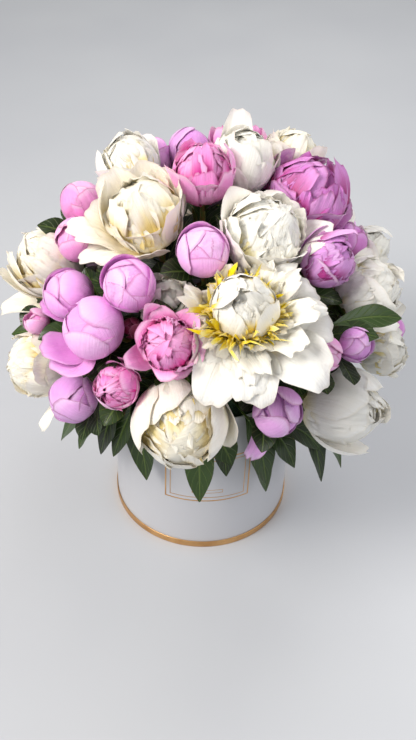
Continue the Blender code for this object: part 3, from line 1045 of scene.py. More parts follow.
# The yellow petaloids round that ball: narrow, twisted strips, longest at the outside.
PETALOIDS = (
    Whorl(
        120, 0.4, -0.3, (45, 66, 62, 30), 0.9, 0.042, (6.0, 3.0), spiral=True, ruffle=0.1, waves=1.0,
        notch=0.1, lean=0.25, claw=0.5, wander=0.26, favour=(240, 0.3), grid=(9, 5),
    ),
    Whorl(
        120, 0.52, -0.2, (50, 74, 70, 50), 0.7, 0.042, (7.0, 3.0), spiral=True, ruffle=0.09, waves=1.0,
        notch=0.1, lean=-0.25, claw=0.6, wander=0.3, favour=(250, 0.2), grid=(8, 5), depth=0.3,
    ),
)

# The calyx: five thick pointed sepals that clasp the foot of the head.
SEPALS = Whorl(
    5, 0.06, -1.02, (-8, 42, 62), 0.95, 0.3, (0.9, 1.1), rounding=0.75, wander=0.12, thickness=0.7,
    grid=(9, 7),
)


def stray(
    clock: float, turn: tuple[float, ...], length: float, width: float, **rest: object,
) -> Whorl:
    """One loose guard petal at a clock angle round the head.

    Args:
        clock: 0 at the right and 90 at the top, as the bouquet's front is looked at.
        turn: The spine's tangent angles.
        length: Its length in head radii.
        width: Its half-width in head radii.
        **rest: The whorl's other fields.

    Returns:
        A whorl of one.
    """
    settings = {
        "root": 0.1, "lift": -0.97, "cup": (0.7, 0.45), "ruffle": 0.07, "notch": 0.05, "rounding": 0.28,
        "wander": 0.02, "pleat": 0.012, "grid": (18, 17),
    }
    return Whorl(count=1, start=clock, turn=turn, length=length, width=width, **(settings | rest))


@dataclass(frozen=True)
class Look:
    """What sets one bloom apart: where its head nods to, as a clock angle and an amount in degrees,
    about a pivot so many radii below its centre, how far its petals are turned about its stem, its
    loose guard petals, and its own recipe."""

    nod: tuple[float, float] = (0.0, 0.0)
    pivot: float = 0.35
    spin: float = 0.0
    strays: tuple[Whorl, ...] = ()
    recipe: tuple[Whorl, ...] | None = None


# The blooms that differ from their form's recipe, by number.
LOOKS = {
    2: Look(strays=(
        stray(98, (0, 62, 86, 84), 2.95, 0.6, cup=(0.8, 0.8)),
        stray(235, (0, 40, 66, 50), 2.1, 0.66), stray(20, (0, 48, 76, 72), 2.1, 0.6),
    )),
    3: Look(strays=(
        stray(206, (-5, 40, 56, 30, 0), 2.45, 0.62, ruffle=0.17, waves=1.4, notch=0.1, pleat=0.04),
        stray(230, (-5, 32, 46, 16, 10), 2.4, 0.6, ruffle=0.17, waves=1.1, notch=0.1, pleat=0.04),
        stray(38, (0, 54, 82, 78), 2.35, 0.75), stray(180, (0, 44, 66, 50), 2.2, 0.7, ruffle=0.09),
        stray(285, (-5, 34, 58, 35), 2.1, 0.6),
    )),
    4: Look(nod=(-10, 8), strays=(
        stray(205, (0, 45, 74, 62), 2.15, 0.8), stray(245, (0, 45, 72, 58), 2.1, 0.8),
    )),
    5: Look(strays=(stray(72, (0, 66, 98, 128), 2.5, 0.8, cup=(0.85, 1.0)),)),
    9: Look(recipe=RECIPES[Form.CUP]),
    12: Look(nod=(150, 20)),
    14: Look(nod=(15, 20)),
    17: Look(nod=(142, 13), pivot=1.0, recipe=SHOW_BLOOM, strays=(
        stray(250, (0, 38, 40, -5, -50), 2.35, 0.6, lift=-0.8, cup=(0.6, 0.3)),
        stray(282, (0, 38, 44, 0, -45), 2.3, 0.6, lift=-0.8, cup=(0.6, 0.3)),
    )),
    20: Look(strays=(stray(222, (0, 50, 76, 84), 2.0, 0.8),)),
    21: Look(nod=(0, 12), strays=(
        stray(118, (0, 48, 72, 66), 2.45, 0.55, rounding=0.7),
        stray(205, (0, 40, 60, 40), 2.2, 0.6, rounding=0.6),
    )),
    22: Look(nod=(150, 8), strays=(
        stray(236, (-5, 28, 50, 25), 2.5, 0.75), stray(196, (0, 40, 60, 30), 2.2, 0.7),
    )),
    23: Look(nod=(40, 28), pivot=0.0, spin=60, strays=(
        stray(212, (-5, 30, 50, 40), 2.2, 0.72), stray(238, (-5, 25, 42, 35), 2.1, 0.7),
    )),
    24: Look(nod=(5, 14), strays=(
        stray(-10, (-5, 30, 56, 30), 2.35, 0.56, notch=0.08),
        stray(-38, (-5, 34, 56, 30), 2.15, 0.6, notch=0.08),
    )),
    31: Look(nod=(10, 25)),
    35: Look(strays=(stray(52, (0, 48, 72, 62), 2.3, 0.75),)),
    36: Look(nod=(250, 10), strays=(stray(262, (-5, 20, 0, -50), 2.7, 0.5, notch=0.12),)),
    37: Look(nod=(298, 32), pivot=0.0, recipe=HOODED),
    39: Look(nod=(195, 10), strays=(stray(275, (-5, 25, 45, 20), 2.3, 0.7),)),
    41: Look(recipe=HOODED),
    45: Look(nod=(8, 28), recipe=HOODED),
}


class Colourway(Enum):
    """The petal colours, as the frame's node names give them, each with its finish."""

    WHITE = PetalFinish("white_petal", "#f0dfa4", "#fbf8ef", "#fdfcf8", "#eae2ce", "#f5efe1", 0.45)
    CREAM = PetalFinish(
        "cream_petal", "#ecd287", "#fbf5e4", "#fcf9f1", "#e8dcbe", "#f3ead3", 0.45, flame=0.56,
    )
    BLUSH = PetalFinish("blush_petal", "#d87bba", "#f2aeed", "#f7c4f5", "#dc8fd2", "#cf6fb2", 0.3)
    PINK = PetalFinish(
        "pink_petal", "#dc4a98", "#f7a4dc", "#facaec", "#e070b4", "#d0589e", 0.4, flame=0.58,
    )
    MAGENTA = PetalFinish(
        "magenta_petal", "#ac1f72", "#d488cf", "#e4ace4", "#b03c94", "#9c2470", 0.35, flame=0.66,
    )
    MAUVE = PetalFinish(
        "mauve_petal", "#ae3f88", "#de9fe0", "#e9c0ec", "#bd6cba", "#a8428c", 0.35, flame=0.5,
    )
    WINE = PetalFinish("wine_petal", "#4d0f24", "#8c2b4c", "#b4587a", "#5e1530", "#c07a94")

    @property
    def slot(self) -> str:
        """The colour's name with petals_ before it."""
        return f"petals_{self.name.lower()}"


SHOW_FINISH = PetalFinish(
    "yellow_hearted_petal", "#f6d030", "#faf7ee", "#fdfcf8", "#eae1cb", "#f5efe0", 0.45, flame=0.5,
)
PETALOID_FINISH = PetalFinish(
    "yellow_petaloid", "#f2b200", "#ffe136", "#fdf3a0", "#e0a800", "#fbe96c", 0.35, 0.25,
)


@dataclass
class Head:
    """A flower head's place: its centre, its radius, and its right, up and outward axes as rows."""

    centre: Array
    radius: float
    axes: Array

    @classmethod
    def facing(cls, centre: Array, radius: float, outward: Array) -> "Head":
        """The head that looks outward, with its clock's 90 towards the view's up."""
        outward = outward / np.linalg.norm(outward)
        right = np.cross(VIEW_UP, outward)
        right /= np.linalg.norm(right)
        return cls(centre, radius, np.stack([right, np.cross(outward, right), outward]))

    def nodded(self, clock: float, degrees: float, pivot: float) -> "Head":
        """The head tipped towards a clock angle, about a point pivot radii below its centre."""
        if not degrees:
            return self
        angle, tip = math.radians(clock), math.radians(degrees)
        sideways = self.axes[0] * math.cos(angle) + self.axes[1] * math.sin(angle)
        outward = self.axes[2] * math.cos(tip) + sideways * math.sin(tip)
        centre = self.centre + (outward - self.axes[2]) * self.radius * pivot
        return Head.facing(centre, self.radius, outward)

    def place(self, points: Array) -> Array:
        """Carry points from the head's own frame to the bouquet's."""
        return self.centre + points @ self.axes


def rest_on(points: Array, heads: list[Head], share: float = 1.03) -> Array:
    """Lay loose petals on the heads beside them.

    A point inside a neighbour moves out along the ray from a place deep in it, halfway from its
    centre to its foot, until it lies on its sphere.

    Args:
        points: (..., 3) points.
        heads: The neighbours.
        share: The sphere's radius as a share of the head's.

    Returns:
        The moved points.
    """
    for head in heads:
        deep = head.centre - head.axes[2] * head.radius * 0.5
        ray = points - deep
        offset = deep - head.centre
        a = np.sum(ray * ray, axis=-1)
        b = ray @ offset
        c = offset @ offset - (head.radius * share) ** 2
        reach = (-b + np.sqrt(np.maximum(b * b - a * c, 0.0))) / (a + 1e-12)
        points = np.where((reach > 1.0)[..., None], deep + ray * reach[..., None], points)
    return points


def press_flat(points: Array, own: Head, others: list[Head], soft: float = 3 * MM) -> Array:
    """Flatten a head where it leans on its neighbours.

    Two heads meet on the plane where their spheres cut each other. A point less than the soft depth s
    short of that plane, or beyond it by d, comes to s * exp(-(d + s) / s) short of it, so petals keep
    their order.

    Args:
        points: (..., 3) points of the head's petals.
        own: The head.
        others: The neighbours.
        soft: How deep the flattening reaches into the head.

    Returns:
        The moved points.
    """
    for other in others:
        apart = other.centre - own.centre
        distance = np.linalg.norm(apart)
        if distance > own.radius + other.radius:
            continue
        towards = apart / distance
        plane = (distance ** 2 + own.radius ** 2 - other.radius ** 2) / (2 * distance)
        beyond = (points - own.centre) @ towards - plane
        eased = -soft * np.exp(-(beyond + soft) / soft)
        points = points + np.where(beyond > -soft, eased - beyond, 0.0)[..., None] * towards
    return points


@dataclass
class Peony:
    """One cut peony on the stem that its CAD node gives it."""

    node: str
    stem_radius: float = 2.7 * MM
    head_share: float = 0.9
    base_depth: float = 0.97
    neck_depth: float = 1.1
    neck_flare: float = 1.6
    stem_steps: int = 9
    widest_ring: float = 0.999
    near: float = 2.4
    leaf_count: int = 9

    def __post_init__(self) -> None:
        """Read the node's name and its solid: the stem's line, the head's centre and radius."""
        _, number, colour, form = self.node.split("_")
        self.number = int(number)
        self.colour, self.form = Colourway[colour.upper()], Form[form.upper()]
        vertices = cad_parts[self.node].data.vertices
        points = np.zeros(len(vertices) * 3, np.float32)
        vertices.foreach_get("co", points)
        points = np.unique(np.round(points.reshape(-1, 3).astype(float), 6), axis=0)
        middle = points.mean(axis=0)
        axis = np.linalg.svd(points - middle, full_matrices=False)[2][0]
        axis *= math.copysign(1.0, axis[2])
        height = (points - middle) @ axis
        off_axis = np.linalg.norm(points - middle - height[:, None] * axis, axis=1)
        widest_radius, widest_height = self.form.value
        core = off_axis.max() / widest_radius
        self.foot = middle + axis * height.min()
        girdle = height[off_axis > off_axis.max() * self.widest_ring].mean()
        centre = middle + axis * (girdle - widest_height * core)
        self.look = LOOKS.get(self.number, Look())
        self.straight = Head.facing(centre, core / self.head_share, axis)
        self.head = self.straight.nodded(*self.look.nod, self.look.pivot)
        self.rng = np.random.default_rng(SEED + self.number)

    def neighbours(self, others: list["Peony"]) -> list[Head]:
        """The heads near enough for this bloom's loose petals to touch."""
        own = self.head
        return [
            other.head for other in others if other is not self
            and np.linalg.norm(other.head.centre - own.centre) < self.near * own.radius + other.head.radius
        ]

    def add_whorl(self, sheets: Sheets, whorl: Whorl, heads: list[Head]) -> None:
        """Grow one whorl and lay it on its neighbours."""
        points = self.head.place(whorl.grow(self.head.radius, self.rng))
        points = press_flat(points, self.head, heads) if whorl.spiral else rest_on(points, heads)
        tint = self.rng.uniform(0.0, 1.0, whorl.count)
        sheets.add(points, whorl.thickness * MM, tint, whorl.depth)

    @property
    def name(self) -> str:
        """The bloom's number as its pieces' names end."""
        return f"{self.number:02d}"

    def build_petals(self, others: list["Peony"], finish: bpy.types.Material) -> None:
        """Make the head's petals as one piece."""
        sheets = Sheets()
        near = self.neighbours(others)
        recipe = self.look.recipe or RECIPES[self.form]
        turned_recipe = [replace(whorl, start=whorl.start + self.look.spin) for whorl in recipe]
        for whorl in (*self.look.strays, *turned_recipe):
            self.add_whorl(sheets, whorl, near)
        finish_piece(sheets.write(f"petals_{self.name}"), finish, [self.node])

    def build_petaloids(self, finish: bpy.types.Material) -> None:
        """Make the ring of yellow petaloids of the wide-open bloom."""
        sheets = Sheets()
        for whorl in PETALOIDS:
            self.add_whorl(sheets, whorl, [])
        finish_piece(sheets.write(f"petaloids_{self.name}"), finish, [])

    def build_stem(self, finish: bpy.types.Material) -> None:
        """Make the stem and the sepals under the head as one piece.

        The stem is a tube from the foot to the head's base, which follows the nod at its end.
        """
        base = self.head.centre - self.head.axes[2] * self.head.radius * self.base_depth
        end = self.straight.centre - self.straight.axes[2] * self.straight.radius * self.neck_depth
        t = np.linspace(0.0, 1.0, self.stem_steps)[:, None]
        path = np.concatenate([self.foot * (1 - t) + end * t, base[None]])
        radius = np.full(len(path), self.stem_radius)
        radius[-1] *= self.neck_flare
        stem_points, stem_quads, stem_tris = tube(path, radius)
        sepals = Sheets()
        self.add_whorl(sepals, SEPALS, [])
        points, quads = join([(stem_points, stem_quads), (sepals.points[0], sepals.quads[0])])
        piece = write_mesh(f"stem_{self.name}", points, quads, stem_tris)
        finish_piece(piece, finish, [self.node])


# --- Leaves -----------------------------------------------------------------------------------------


def polar(azimuth: float, radius: float, height: float) -> Array:
    """The place at an azimuth from the front towards +X, a radius and a height, both in mm."""
    around = math.radians(azimuth)
    return np.array([math.sin(around) * radius, -math.cos(around) * radius, height]) * MM


@dataclass(frozen=True)
class Blade:
    """A leaflet: where it starts, bends and ends, which way its upper face looks, and its width."""

    start: Array
    bend: Array
    end: Array
    upper: Array
    half_width: float

    def grow(self, rng: np.random.Generator, rows: int, columns: int) -> Array:
        """Work out the blade's upper face.

        The spine is the parabola through start, bend and end. Half the width is a half sine of the
        way along it to the power 1.3, and the blade folds up from its midrib and waves at its rim.

        Args:
            rng: Source of the scatter.
            rows: Points along the blade.
            columns: Points across it.

        Returns:
            (1, rows, columns, 3) points.
        """
        t = np.linspace(0.0, 1.0, rows)[:, None]
        spine = self.start * (1 - t) ** 2 + self.bend * 2 * t * (1 - t) + self.end * t ** 2
        run = (self.bend - self.start) * (1 - t) + (self.end - self.bend) * t
        run /= np.linalg.norm(run, axis=1, keepdims=True)
        side = np.cross(run, self.upper)
        side /= np.linalg.norm(side, axis=1, keepdims=True)
        face = np.cross(side, run)
        u = np.linspace(-1.0, 1.0, columns)[None, :]
        half = self.half_width * np.sin(math.pi * np.clip(t, 0.02, 0.994) ** 1.3) ** 0.85
        fold, wave, lift = rng.uniform(0.08, 0.26), rng.uniform(0.0, math.tau), rng.uniform(0.04, 0.1)
        raise_by = half * (fold * np.abs(u) ** 1.3 + lift * u ** 2 * np.sin(16 * t + wave + 1.5 * u))
        points = spine[:, None] + side[:, None] * (half * u)[..., None] * (1 - 0.12 * fold)
        return (points + face[:, None] * raise_by[..., None])[None]


@dataclass
class Foliage:
    """The leaves: six sprays over the rim, tucked leaves among the heads, and those on the stems."""

    stalk_radius: float = 1.5
    stalk_foot: float = 50.0
    stalk_elevation: float = 11.0
    stalk_length: float = 117.0
    fork_start: float = 104.0
    fork_spacing: float = 3.0
    heart_height: float = 185.0
    bend_share: float = 0.94
    bend_rise: float = 4.0
    thickness: float = 0.7 * MM
    leaflet_width: float = 15.8 * MM
    tucked_width: float = 12 * MM
    tucked_rise: float = 12 * MM
    stem_leaf_width: float = 13 * MM
    stem_leaf_lowest: float = 215 * MM
    stem_leaf_drop: float = 14.0
    stem_leaf_gap: float = 22.0
    stem_leaf_reach: float = 26 * MM
    stem_leaf_rise: float = 30 * MM
    stem_leaf_bend: float = 24 * MM
    collar_count: int = 22
    collar_foot: tuple[float, float] = (66, 214)
    collar_tip: tuple[float, float] = (136, 226)
    collar_turn: float = 8.0
    collar_step: float = 10.0

    # Each spray's stalk azimuth, and its leaflets' tips as azimuth, radius and height in mm.
    SPRAYS = {
        "front_left": (-50, [(-70, 165, 118), (-61, 152, 124), (-50, 140, 134), (-28, 122, 116)]),
        "front": (-4, [(-13, 128, 158), (0, 131, 111), (14, 130, 164)]),
        "front_right": (24, [(32, 132, 122), (37, 119, 92), (46, 138, 132), (57, 150, 146)]),
        "right": (63, [(56, 158, 104), (66, 168, 106), (82, 146, 140)]),
        "back_right": (150, [(132, 142, 140), (150, 150, 118), (168, 140, 142)]),
        "back_left": (-122, [(-102, 142, 136), (-121, 152, 116), (-142, 140, 142)]),
    }
    # Leaves that show between the heads, as azimuth, radius and height of the start and the tip.
    TUCKED = (
        ((45, 158, 338), (68, 200, 322)), ((44, 152, 322), (54, 196, 330)),
        ((17, 150, 262), (28, 182, 276)), ((-70, 150, 262), (-77, 203, 258)),
        ((-55, 140, 290), (-60, 186, 292)), ((-58, 140, 276), (-64, 186, 274)),
        ((-80, 120, 350), (-84, 168, 372)), ((-50, 150, 300), (-44, 190, 318)),
        ((130, 150, 300), (126, 198, 296)), ((-140, 150, 300), (-136, 198, 300)),
        ((170, 150, 290), (175, 196, 286)), ((160, 130, 350), (158, 178, 362)),
        ((9, 108, 214), (12, 128, 146)), ((-38, 108, 214), (-44, 134, 138)),
        ((60, 108, 214), (58, 126, 150)), ((74, 108, 214), (78, 140, 118)),
        ((112, 108, 214), (116, 138, 124)), ((-90, 108, 214), (-88, 138, 118)),
        ((-158, 108, 214), (-162, 136, 120)), ((186, 108, 214), (190, 138, 130)),
    )

    def stalk_point(self, azimuth: float, distance: float) -> Array:
        """The place at this many mm from the bouquet's heart along a spray's stalk."""
        rise = math.radians(self.stalk_elevation)
        return polar(azimuth, distance * math.cos(rise), self.heart_height + distance * math.sin(rise))

    def add_leaf(
        self, sheets: Sheets, blade: Blade, rng: np.random.Generator, rows: int = 18,
        columns: int = 9, palest: float = 1.0,
    ) -> None:
        """Grow one leaflet into the sheets, in a tint between dark and the palest allowed."""
        sheets.add(blade.grow(rng, rows, columns), self.thickness, rng.uniform(0, palest, 1), 0.0)

    def build_spray(self, name: str, leaf: bpy.types.Material) -> None:
        """Make one spray, its leaflets and its stalk, where its CAD node is."""
        azimuth, tips = self.SPRAYS[name]
        rng = np.random.default_rng(SEED + len(name))
        sheets = Sheets()
        for index, (around, radius, height) in enumerate(tips):
            start = self.stalk_point(azimuth, self.fork_start + index * self.fork_spacing)
            end = polar(around, radius, height)
            outward = polar(around, 1.0, 0.0) / MM
            high = outward * radius * self.bend_share * MM
            high = high + np.array([0.0, 0.0, start[2] + self.bend_rise * MM])
            bend = 0.5 * high + 0.25 * (start + end)
            blade = Blade(start, bend, end, outward + np.array([0.0, 0.0, 1.0]), self.leaflet_width)
            self.add_leaf(sheets, blade, rng)
        t = np.linspace(0.0, 1.0, 12)[:, None]
        foot, fork = self.stalk_point(azimuth, self.stalk_foot), self.stalk_point(azimuth, self.stalk_length)
        path = foot * (1 - t) + fork * t
        points, quads, tris = tube(path, np.linspace(self.stalk_radius, 1.0, 12) * MM, sides=8)
        leaflets = np.concatenate(sheets.points), np.concatenate(sheets.quads)
        all_points, all_quads = join([(points, quads), leaflets])
        uv = np.concatenate([np.full((len(points), 2), 0.5), *sheets.uv])
        tone = np.concatenate([np.full((len(points), 3), 0.6), *sheets.tone])
        piece = write_mesh(f"spray_{name}", all_points, all_quads, tris, uv, tone)
        finish_piece(piece, leaf, [f"leaf_spray_{name}"])

    def build_tucked(self, leaf: bpy.types.Material) -> None:
        """Make the leaves that show between the heads."""
        rng = np.random.default_rng(SEED)
        sheets = Sheets()
        collar = np.linspace(0.0, 360.0, self.collar_count, endpoint=False)
        reach, height = self.collar_tip
        ring = tuple(
            ((turn, *self.collar_foot), (turn + self.collar_turn, reach, height + self.collar_step * (k % 3)))
            for k, turn in enumerate(collar)
        )
        for start, tip in self.TUCKED + ring:
            begin, end = polar(*start), polar(*tip)
            outward = polar(tip[0], 1.0, 0.0) / MM
            bend = 0.5 * (begin + end) + np.array([0.0, 0.0, self.tucked_rise])
            upper = outward * 0.6 + np.array([0, -0.3, 1.0])
            self.add_leaf(sheets, Blade(begin, bend, end, upper, self.tucked_width), rng)
        finish_piece(sheets.write("tucked_leaves"), leaf, [])

    def build_stem_leaves(self, peonies: list[Peony], leaf: bpy.types.Material) -> None:
        """Make the leaves on the stems, which fill the shade between the heads."""
        rng = np.random.default_rng(SEED + 1)
        sheets = Sheets()
        for peony in peonies:
            head = peony.straight
            for order, clock in enumerate(rng.uniform(0.0, math.tau, peony.leaf_count)):
                aside = head.axes[0] * math.cos(clock) + head.axes[1] * math.sin(clock)
                below = (self.stem_leaf_drop + self.stem_leaf_gap * (order // 2)) * MM
                base = head.centre - head.axes[2] * (head.radius + below)
                reach = head.radius * 0.7 + self.stem_leaf_reach
                end = base + aside * reach + head.axes[2] * self.stem_leaf_rise
                bend = base + (aside + head.axes[2]) * self.stem_leaf_bend
                if min(end[2], base[2]) < self.stem_leaf_lowest:
                    continue
                blade = Blade(base, bend, end, head.axes[2] - aside * 0.4, self.stem_leaf_width)
                self.add_leaf(sheets, blade, rng, 12, 7, palest=0.5)
        finish_piece(sheets.write("stem_leaves"), leaf, [])


# --- Hat box ----------------------------------------------------------------------------------------


def arc(middle: tuple[float, float], radius: float, start: float, stop: float, count: int) -> Array:
    """Points (r + q cos a, z + q sin a) of an outline's rounded part, for angles a in radians.

    Args:
        middle: The arc's centre, r out from the axis and z up.
        radius: The arc's own radius q.
        start: The first angle.
        stop: The last angle.
        count: How many points.

    Returns:
        (count, 2) points.
    """
    angle = np.linspace(start, stop, count)
    return np.stack([middle[0] + radius * np.cos(angle), middle[1] + radius * np.sin(angle)], axis=1)


@dataclass
class HatBox:
    """The round card box with its gold tray, foil frame, liner and foam, sized from the frame."""

    sides: int = 144
    foam_sides: int = 96
    wall_steps: int = 13
    card: float = 2 * MM
    tray_floor: float = 2 * MM
    tray_lip: float = 1 * MM
    tray_bend: float = 0.8 * MM
    liner_sheet: float = 1.2 * MM
    liner_corner: float = 3 * MM
    foam_shoulder: float = 185 * MM
    frame_azimuth: float = 4.6
    frame_reach: float = 27.2
    frame_low: float = 77 * MM
    frame_high: float = 146 * MM
    outer_line: float = 1.5 * MM
    inner_line: float = 0.8 * MM
    line_gap: float = 4.2 * MM
    frame_steps: tuple[int, int] = (32, 8)
    foil_height: float = 0.12 * MM
    foil_sunk: float = -0.1
    plaque_reach: float = 17 * MM
    plaque_low: float = 90 * MM
    plaque_high: float = 95 * MM
    plaque_line: float = 0.5 * MM

    def __post_init__(self) -> None:
        """Read the radii and heights of the CAD's wall, tray, liner and foam."""
        self.wall_low, self.wall_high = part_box("box_wall")
        self.tray_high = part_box("base_tray")[1]
        self.liner_low, self.liner_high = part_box("liner")
        self.foam_low, self.foam_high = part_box("floral_foam")

    def build_wall(self, card: bpy.types.Material) -> None:
        """Make the card tube: an upright band whose top rim is half a circle in section."""
        outer, low, high = self.wall_high.x, self.wall_low.z, self.wall_high.z
        half = self.card / 2
        heights = np.linspace(low, high - half, self.wall_steps, endpoint=False)
        up, down = (
            np.stack([np.full(self.wall_steps, radius), way], axis=1)
            for radius, way in ((outer, heights), (outer - self.card, heights[::-1]))
        )
        rim = arc((outer - half, high - half), half, 0.0, math.pi, 9)
        piece = turned("card_tube", np.concatenate([up, rim, down]), self.sides)
        finish_piece(piece, card, ["box_wall"])

    def build_tray(self, foil: bpy.types.Material) -> None:
        """Make the gold tray: a disc with an upright lip, its corners rounded by quarter circles."""
        outer, top, bend = self.tray_high.x, self.tray_high.z, self.tray_bend
        inner = outer - self.tray_lip
        half = (outer - inner) / 2
        foot = arc((outer - bend, bend), bend, -math.pi / 2, 0.0, 5)
        brim = arc(((outer + inner) / 2, top - half), half, 0.0, math.pi, 7)
        floor = [(inner, self.tray_floor), (0.0, self.tray_floor)]
        piece = turned("gold_tray", np.concatenate([[(0.0, 0.0)], foot, brim, floor]), self.sides)
        finish_piece(piece, foil, ["base_tray"])

    def build_liner(self, plastic: bpy.types.Material) -> None:
        """Make the thin liner cup with a rolled rim."""
        outer, low, top = self.liner_high.x, self.liner_low.z, self.liner_high.z
        thick, corner = self.liner_sheet, self.liner_corner
        inner, half, floor = outer - thick, thick / 2, low + thick
        outside = [(0.0, low), (outer - corner, low), (outer, low + corner)]
        brim = arc(((outer + inner) / 2, top - half), half, 0.0, math.pi, 7)
        inside = [(inner, low + corner + thick), (inner - corner, floor), (0.0, floor)]
        piece = turned("liner_cup", np.concatenate([outside, brim, inside]), self.sides)
        finish_piece(piece, plastic, ["liner"])

    def build_foam(self, wet: bpy.types.Material) -> None:
        """Make the foam: a cylinder with a half-sphere on top."""
        low, radius, shoulder = self.foam_low.z, self.foam_high.x, self.foam_shoulder
        dome = self.foam_high.z - shoulder
        top = arc((0.0, shoulder), dome, 0.0, math.pi / 2, 15)[:-1]
        side = [(0.0, low), (radius, low), (radius, shoulder)]
        outline = np.concatenate([side, top, [(0.0, shoulder + dome)]])
        finish_piece(turned("foam_block", outline, self.foam_sides), wet, ["floral_foam"])

    def frame_band(self, reach: float, low: float, high: float, line: float) -> tuple[Array, Array]:
        """Lay a raised strip round a rectangle on the curved wall and close it on itself.

        Args:
            reach: Half the rectangle's width, measured round the wall.
            low: The rectangle's lower height.
            high: Its upper height.
            line: The strip's width, inside the rectangle.

        Returns:
            Points and quads.
        """
        wide_steps, high_steps = self.frame_steps
        along = np.linspace(-1.0, 1.0, wide_steps, endpoint=False)
        loops = []
        for step, stand in ((0.0, self.foil_sunk), (0.0, 1.0), (line, 1.0), (line, self.foil_sunk)):
            wide, bottom, top = reach - step, low + step, high - step
            rise = np.linspace(bottom, top, high_steps, endpoint=False)
            right, left = np.full(high_steps, wide), np.full(high_steps, -wide)
            x = np.concatenate([along * wide, right, -along * wide, left])
            under, over = np.full(wide_steps, bottom), np.full(wide_steps, top)
            z = np.concatenate([under, rise, over, (bottom + top) - rise])
            around = math.radians(self.frame_azimuth) + x / self.wall_high.x
            radius = self.wall_high.x + stand * self.foil_height
            loops.append(np.stack([np.sin(around) * radius, -np.cos(around) * radius, z], axis=-1))
        points = np.stack(loops)
        ids = np.arange(points[..., 0].size).reshape(points.shape[:2])
        ids = closed(np.concatenate([ids, ids[:1]], axis=0))
        return points.reshape(-1, 3), grid_quads(ids)[:, ::-1]

    def build_foil(self, foil: bpy.types.Material) -> None:
        """Make the double foil frame as one piece, with a small plain plaque outline in it."""
        reach = math.radians(self.frame_reach) * self.wall_high.x
        inset = self.outer_line + self.line_gap
        low, high = self.frame_low, self.frame_high
        points, quads = join([
            self.frame_band(reach, low, high, self.outer_line),
            self.frame_band(reach - inset, low + inset, high - inset, self.inner_line),
            self.frame_band(self.plaque_reach, self.plaque_low, self.plaque_high, self.plaque_line),
        ])
        finish_piece(write_mesh("foil_frame", points, quads), foil, [])


# --- Studio -----------------------------------------------------------------------------------------


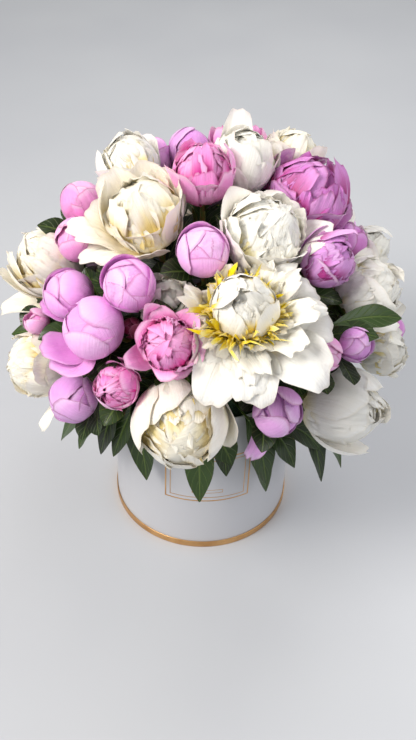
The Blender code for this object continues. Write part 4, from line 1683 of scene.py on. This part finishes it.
@dataclass
class Studio:
    """A pale floor, soft lights and the camera that looks down at the bouquet's front."""

    lens: float = 49.07
    pitch: float = 41.242
    roll: float = 2.415
    distance: float = 1.1106
    target: tuple[float, float, float] = (0.0031, 0.0, 0.1807)
    lit_height: float = 0.25
    air: str = "#e6e6e6"
    air_strength: float = 0.48
    floor_half: float = 30.0

    def build_camera(self) -> None:
        """Place the camera on the line through its target, tipped down and rolled a little."""
        tip, roll = math.radians(self.pitch), math.radians(self.roll)
        look = Vector((0.0, math.cos(tip), -math.sin(tip)))
        right = Vector((1.0, 0.0, 0.0))
        up = right.cross(look)
        rolled_right = right * math.cos(roll) + up * math.sin(roll)
        rolled_up = up * math.cos(roll) - right * math.sin(roll)
        place = Vector(self.target) - look * self.distance
        data = bpy.data.cameras.new("camera")
        data.lens = self.lens
        data.clip_start, data.clip_end = 0.05, 20.0
        camera = bpy.data.objects.new("camera", data)
        turn = Matrix((rolled_right, rolled_up, -look)).transposed()
        camera.matrix_world = Matrix.Translation(place) @ turn.to_4x4()
        bpy.context.scene.collection.objects.link(camera)
        bpy.context.scene.camera = camera

    def add_light(self, name: str, place: Vector, size: float, power: float, colour: str) -> None:
        """Add a square soft light that looks at the bouquet's middle."""
        data = bpy.data.lights.new(name, "AREA")
        data.size, data.energy = size, power
        data.color = linear(colour)[:3]
        lamp = bpy.data.objects.new(name, data)
        lamp.location = place
        aim = Vector((0.0, 0.0, self.lit_height)) - place
        lamp.rotation_euler = aim.to_track_quat("-Z", "Y").to_euler()
        bpy.context.scene.collection.objects.link(lamp)

    def build_lights(self) -> None:
        """A large key from the front left, a weak fill from the right and a low one from behind."""
        self.add_light("key", Vector((-1.05, -0.75, 1.5)), 0.8, 37.0, "#fffaf3")
        self.add_light("fill", Vector((1.4, -0.7, 1.3)), 1.2, 11.0, "#fdfdff")
        self.add_light("back", Vector((0.5, 1.2, 1.7)), 1.2, 18.0, "#fffdfa")
        world = bpy.data.worlds.new("studio_air")
        world.use_nodes = True
        background = world.node_tree.nodes["Background"]
        background.inputs["Color"].default_value = linear(self.air)
        background.inputs["Strength"].default_value = self.air_strength
        bpy.context.scene.world = world

    def build_floor(self) -> None:
        """A wide pale floor with its top at the box's foot."""
        corners = np.array([[-1, -1, 0], [1, -1, 0], [1, 1, 0], [-1, 1, 0]]) * self.floor_half
        floor = write_mesh("floor", corners, np.array([[0, 1, 2, 3]]))
        floor.data.materials.append(FLOOR_PAINT.build())

    def build(self) -> None:
        """Make the whole studio."""
        bpy.context.scene.view_settings.view_transform = "Standard"
        self.build_camera()
        self.build_lights()
        self.build_floor()


def main() -> None:
    """Build the studio, the box, the foliage and the fifty peonies."""
    logging.basicConfig(level=logging.INFO, format="%(name)s %(message)s")
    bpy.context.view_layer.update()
    Studio().build()

    box = HatBox()
    foil = FoilFinish().build()
    box.build_wall(CardFinish(low=box.wall_low.z, high=box.wall_high.z).build())
    box.build_tray(foil)
    box.build_foil(foil)
    box.build_liner(LINER_SHEET.build())
    box.build_foam(WET_FOAM.build())

    petals = {colour: colour.value.build() for colour in Colourway}
    show_petals = SHOW_FINISH.build()
    stem_skin = STEM_SKIN.build()
    peonies = [Peony(node) for node in sorted(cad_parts) if node.startswith("peony_")]
    for peony in peonies:
        show = peony.look.recipe is SHOW_BLOOM
        peony.build_petals(peonies, show_petals if show else petals[peony.colour])
        peony.build_stem(stem_skin)
        if show:
            peony.build_petaloids(PETALOID_FINISH.build())

    leaf = LeafFinish().build()
    foliage = Foliage()
    for name in foliage.SPRAYS:
        foliage.build_spray(name, leaf)
    foliage.build_tucked(leaf)
    foliage.build_stem_leaves(peonies, leaf)


if __name__ == "__main__":
    main()
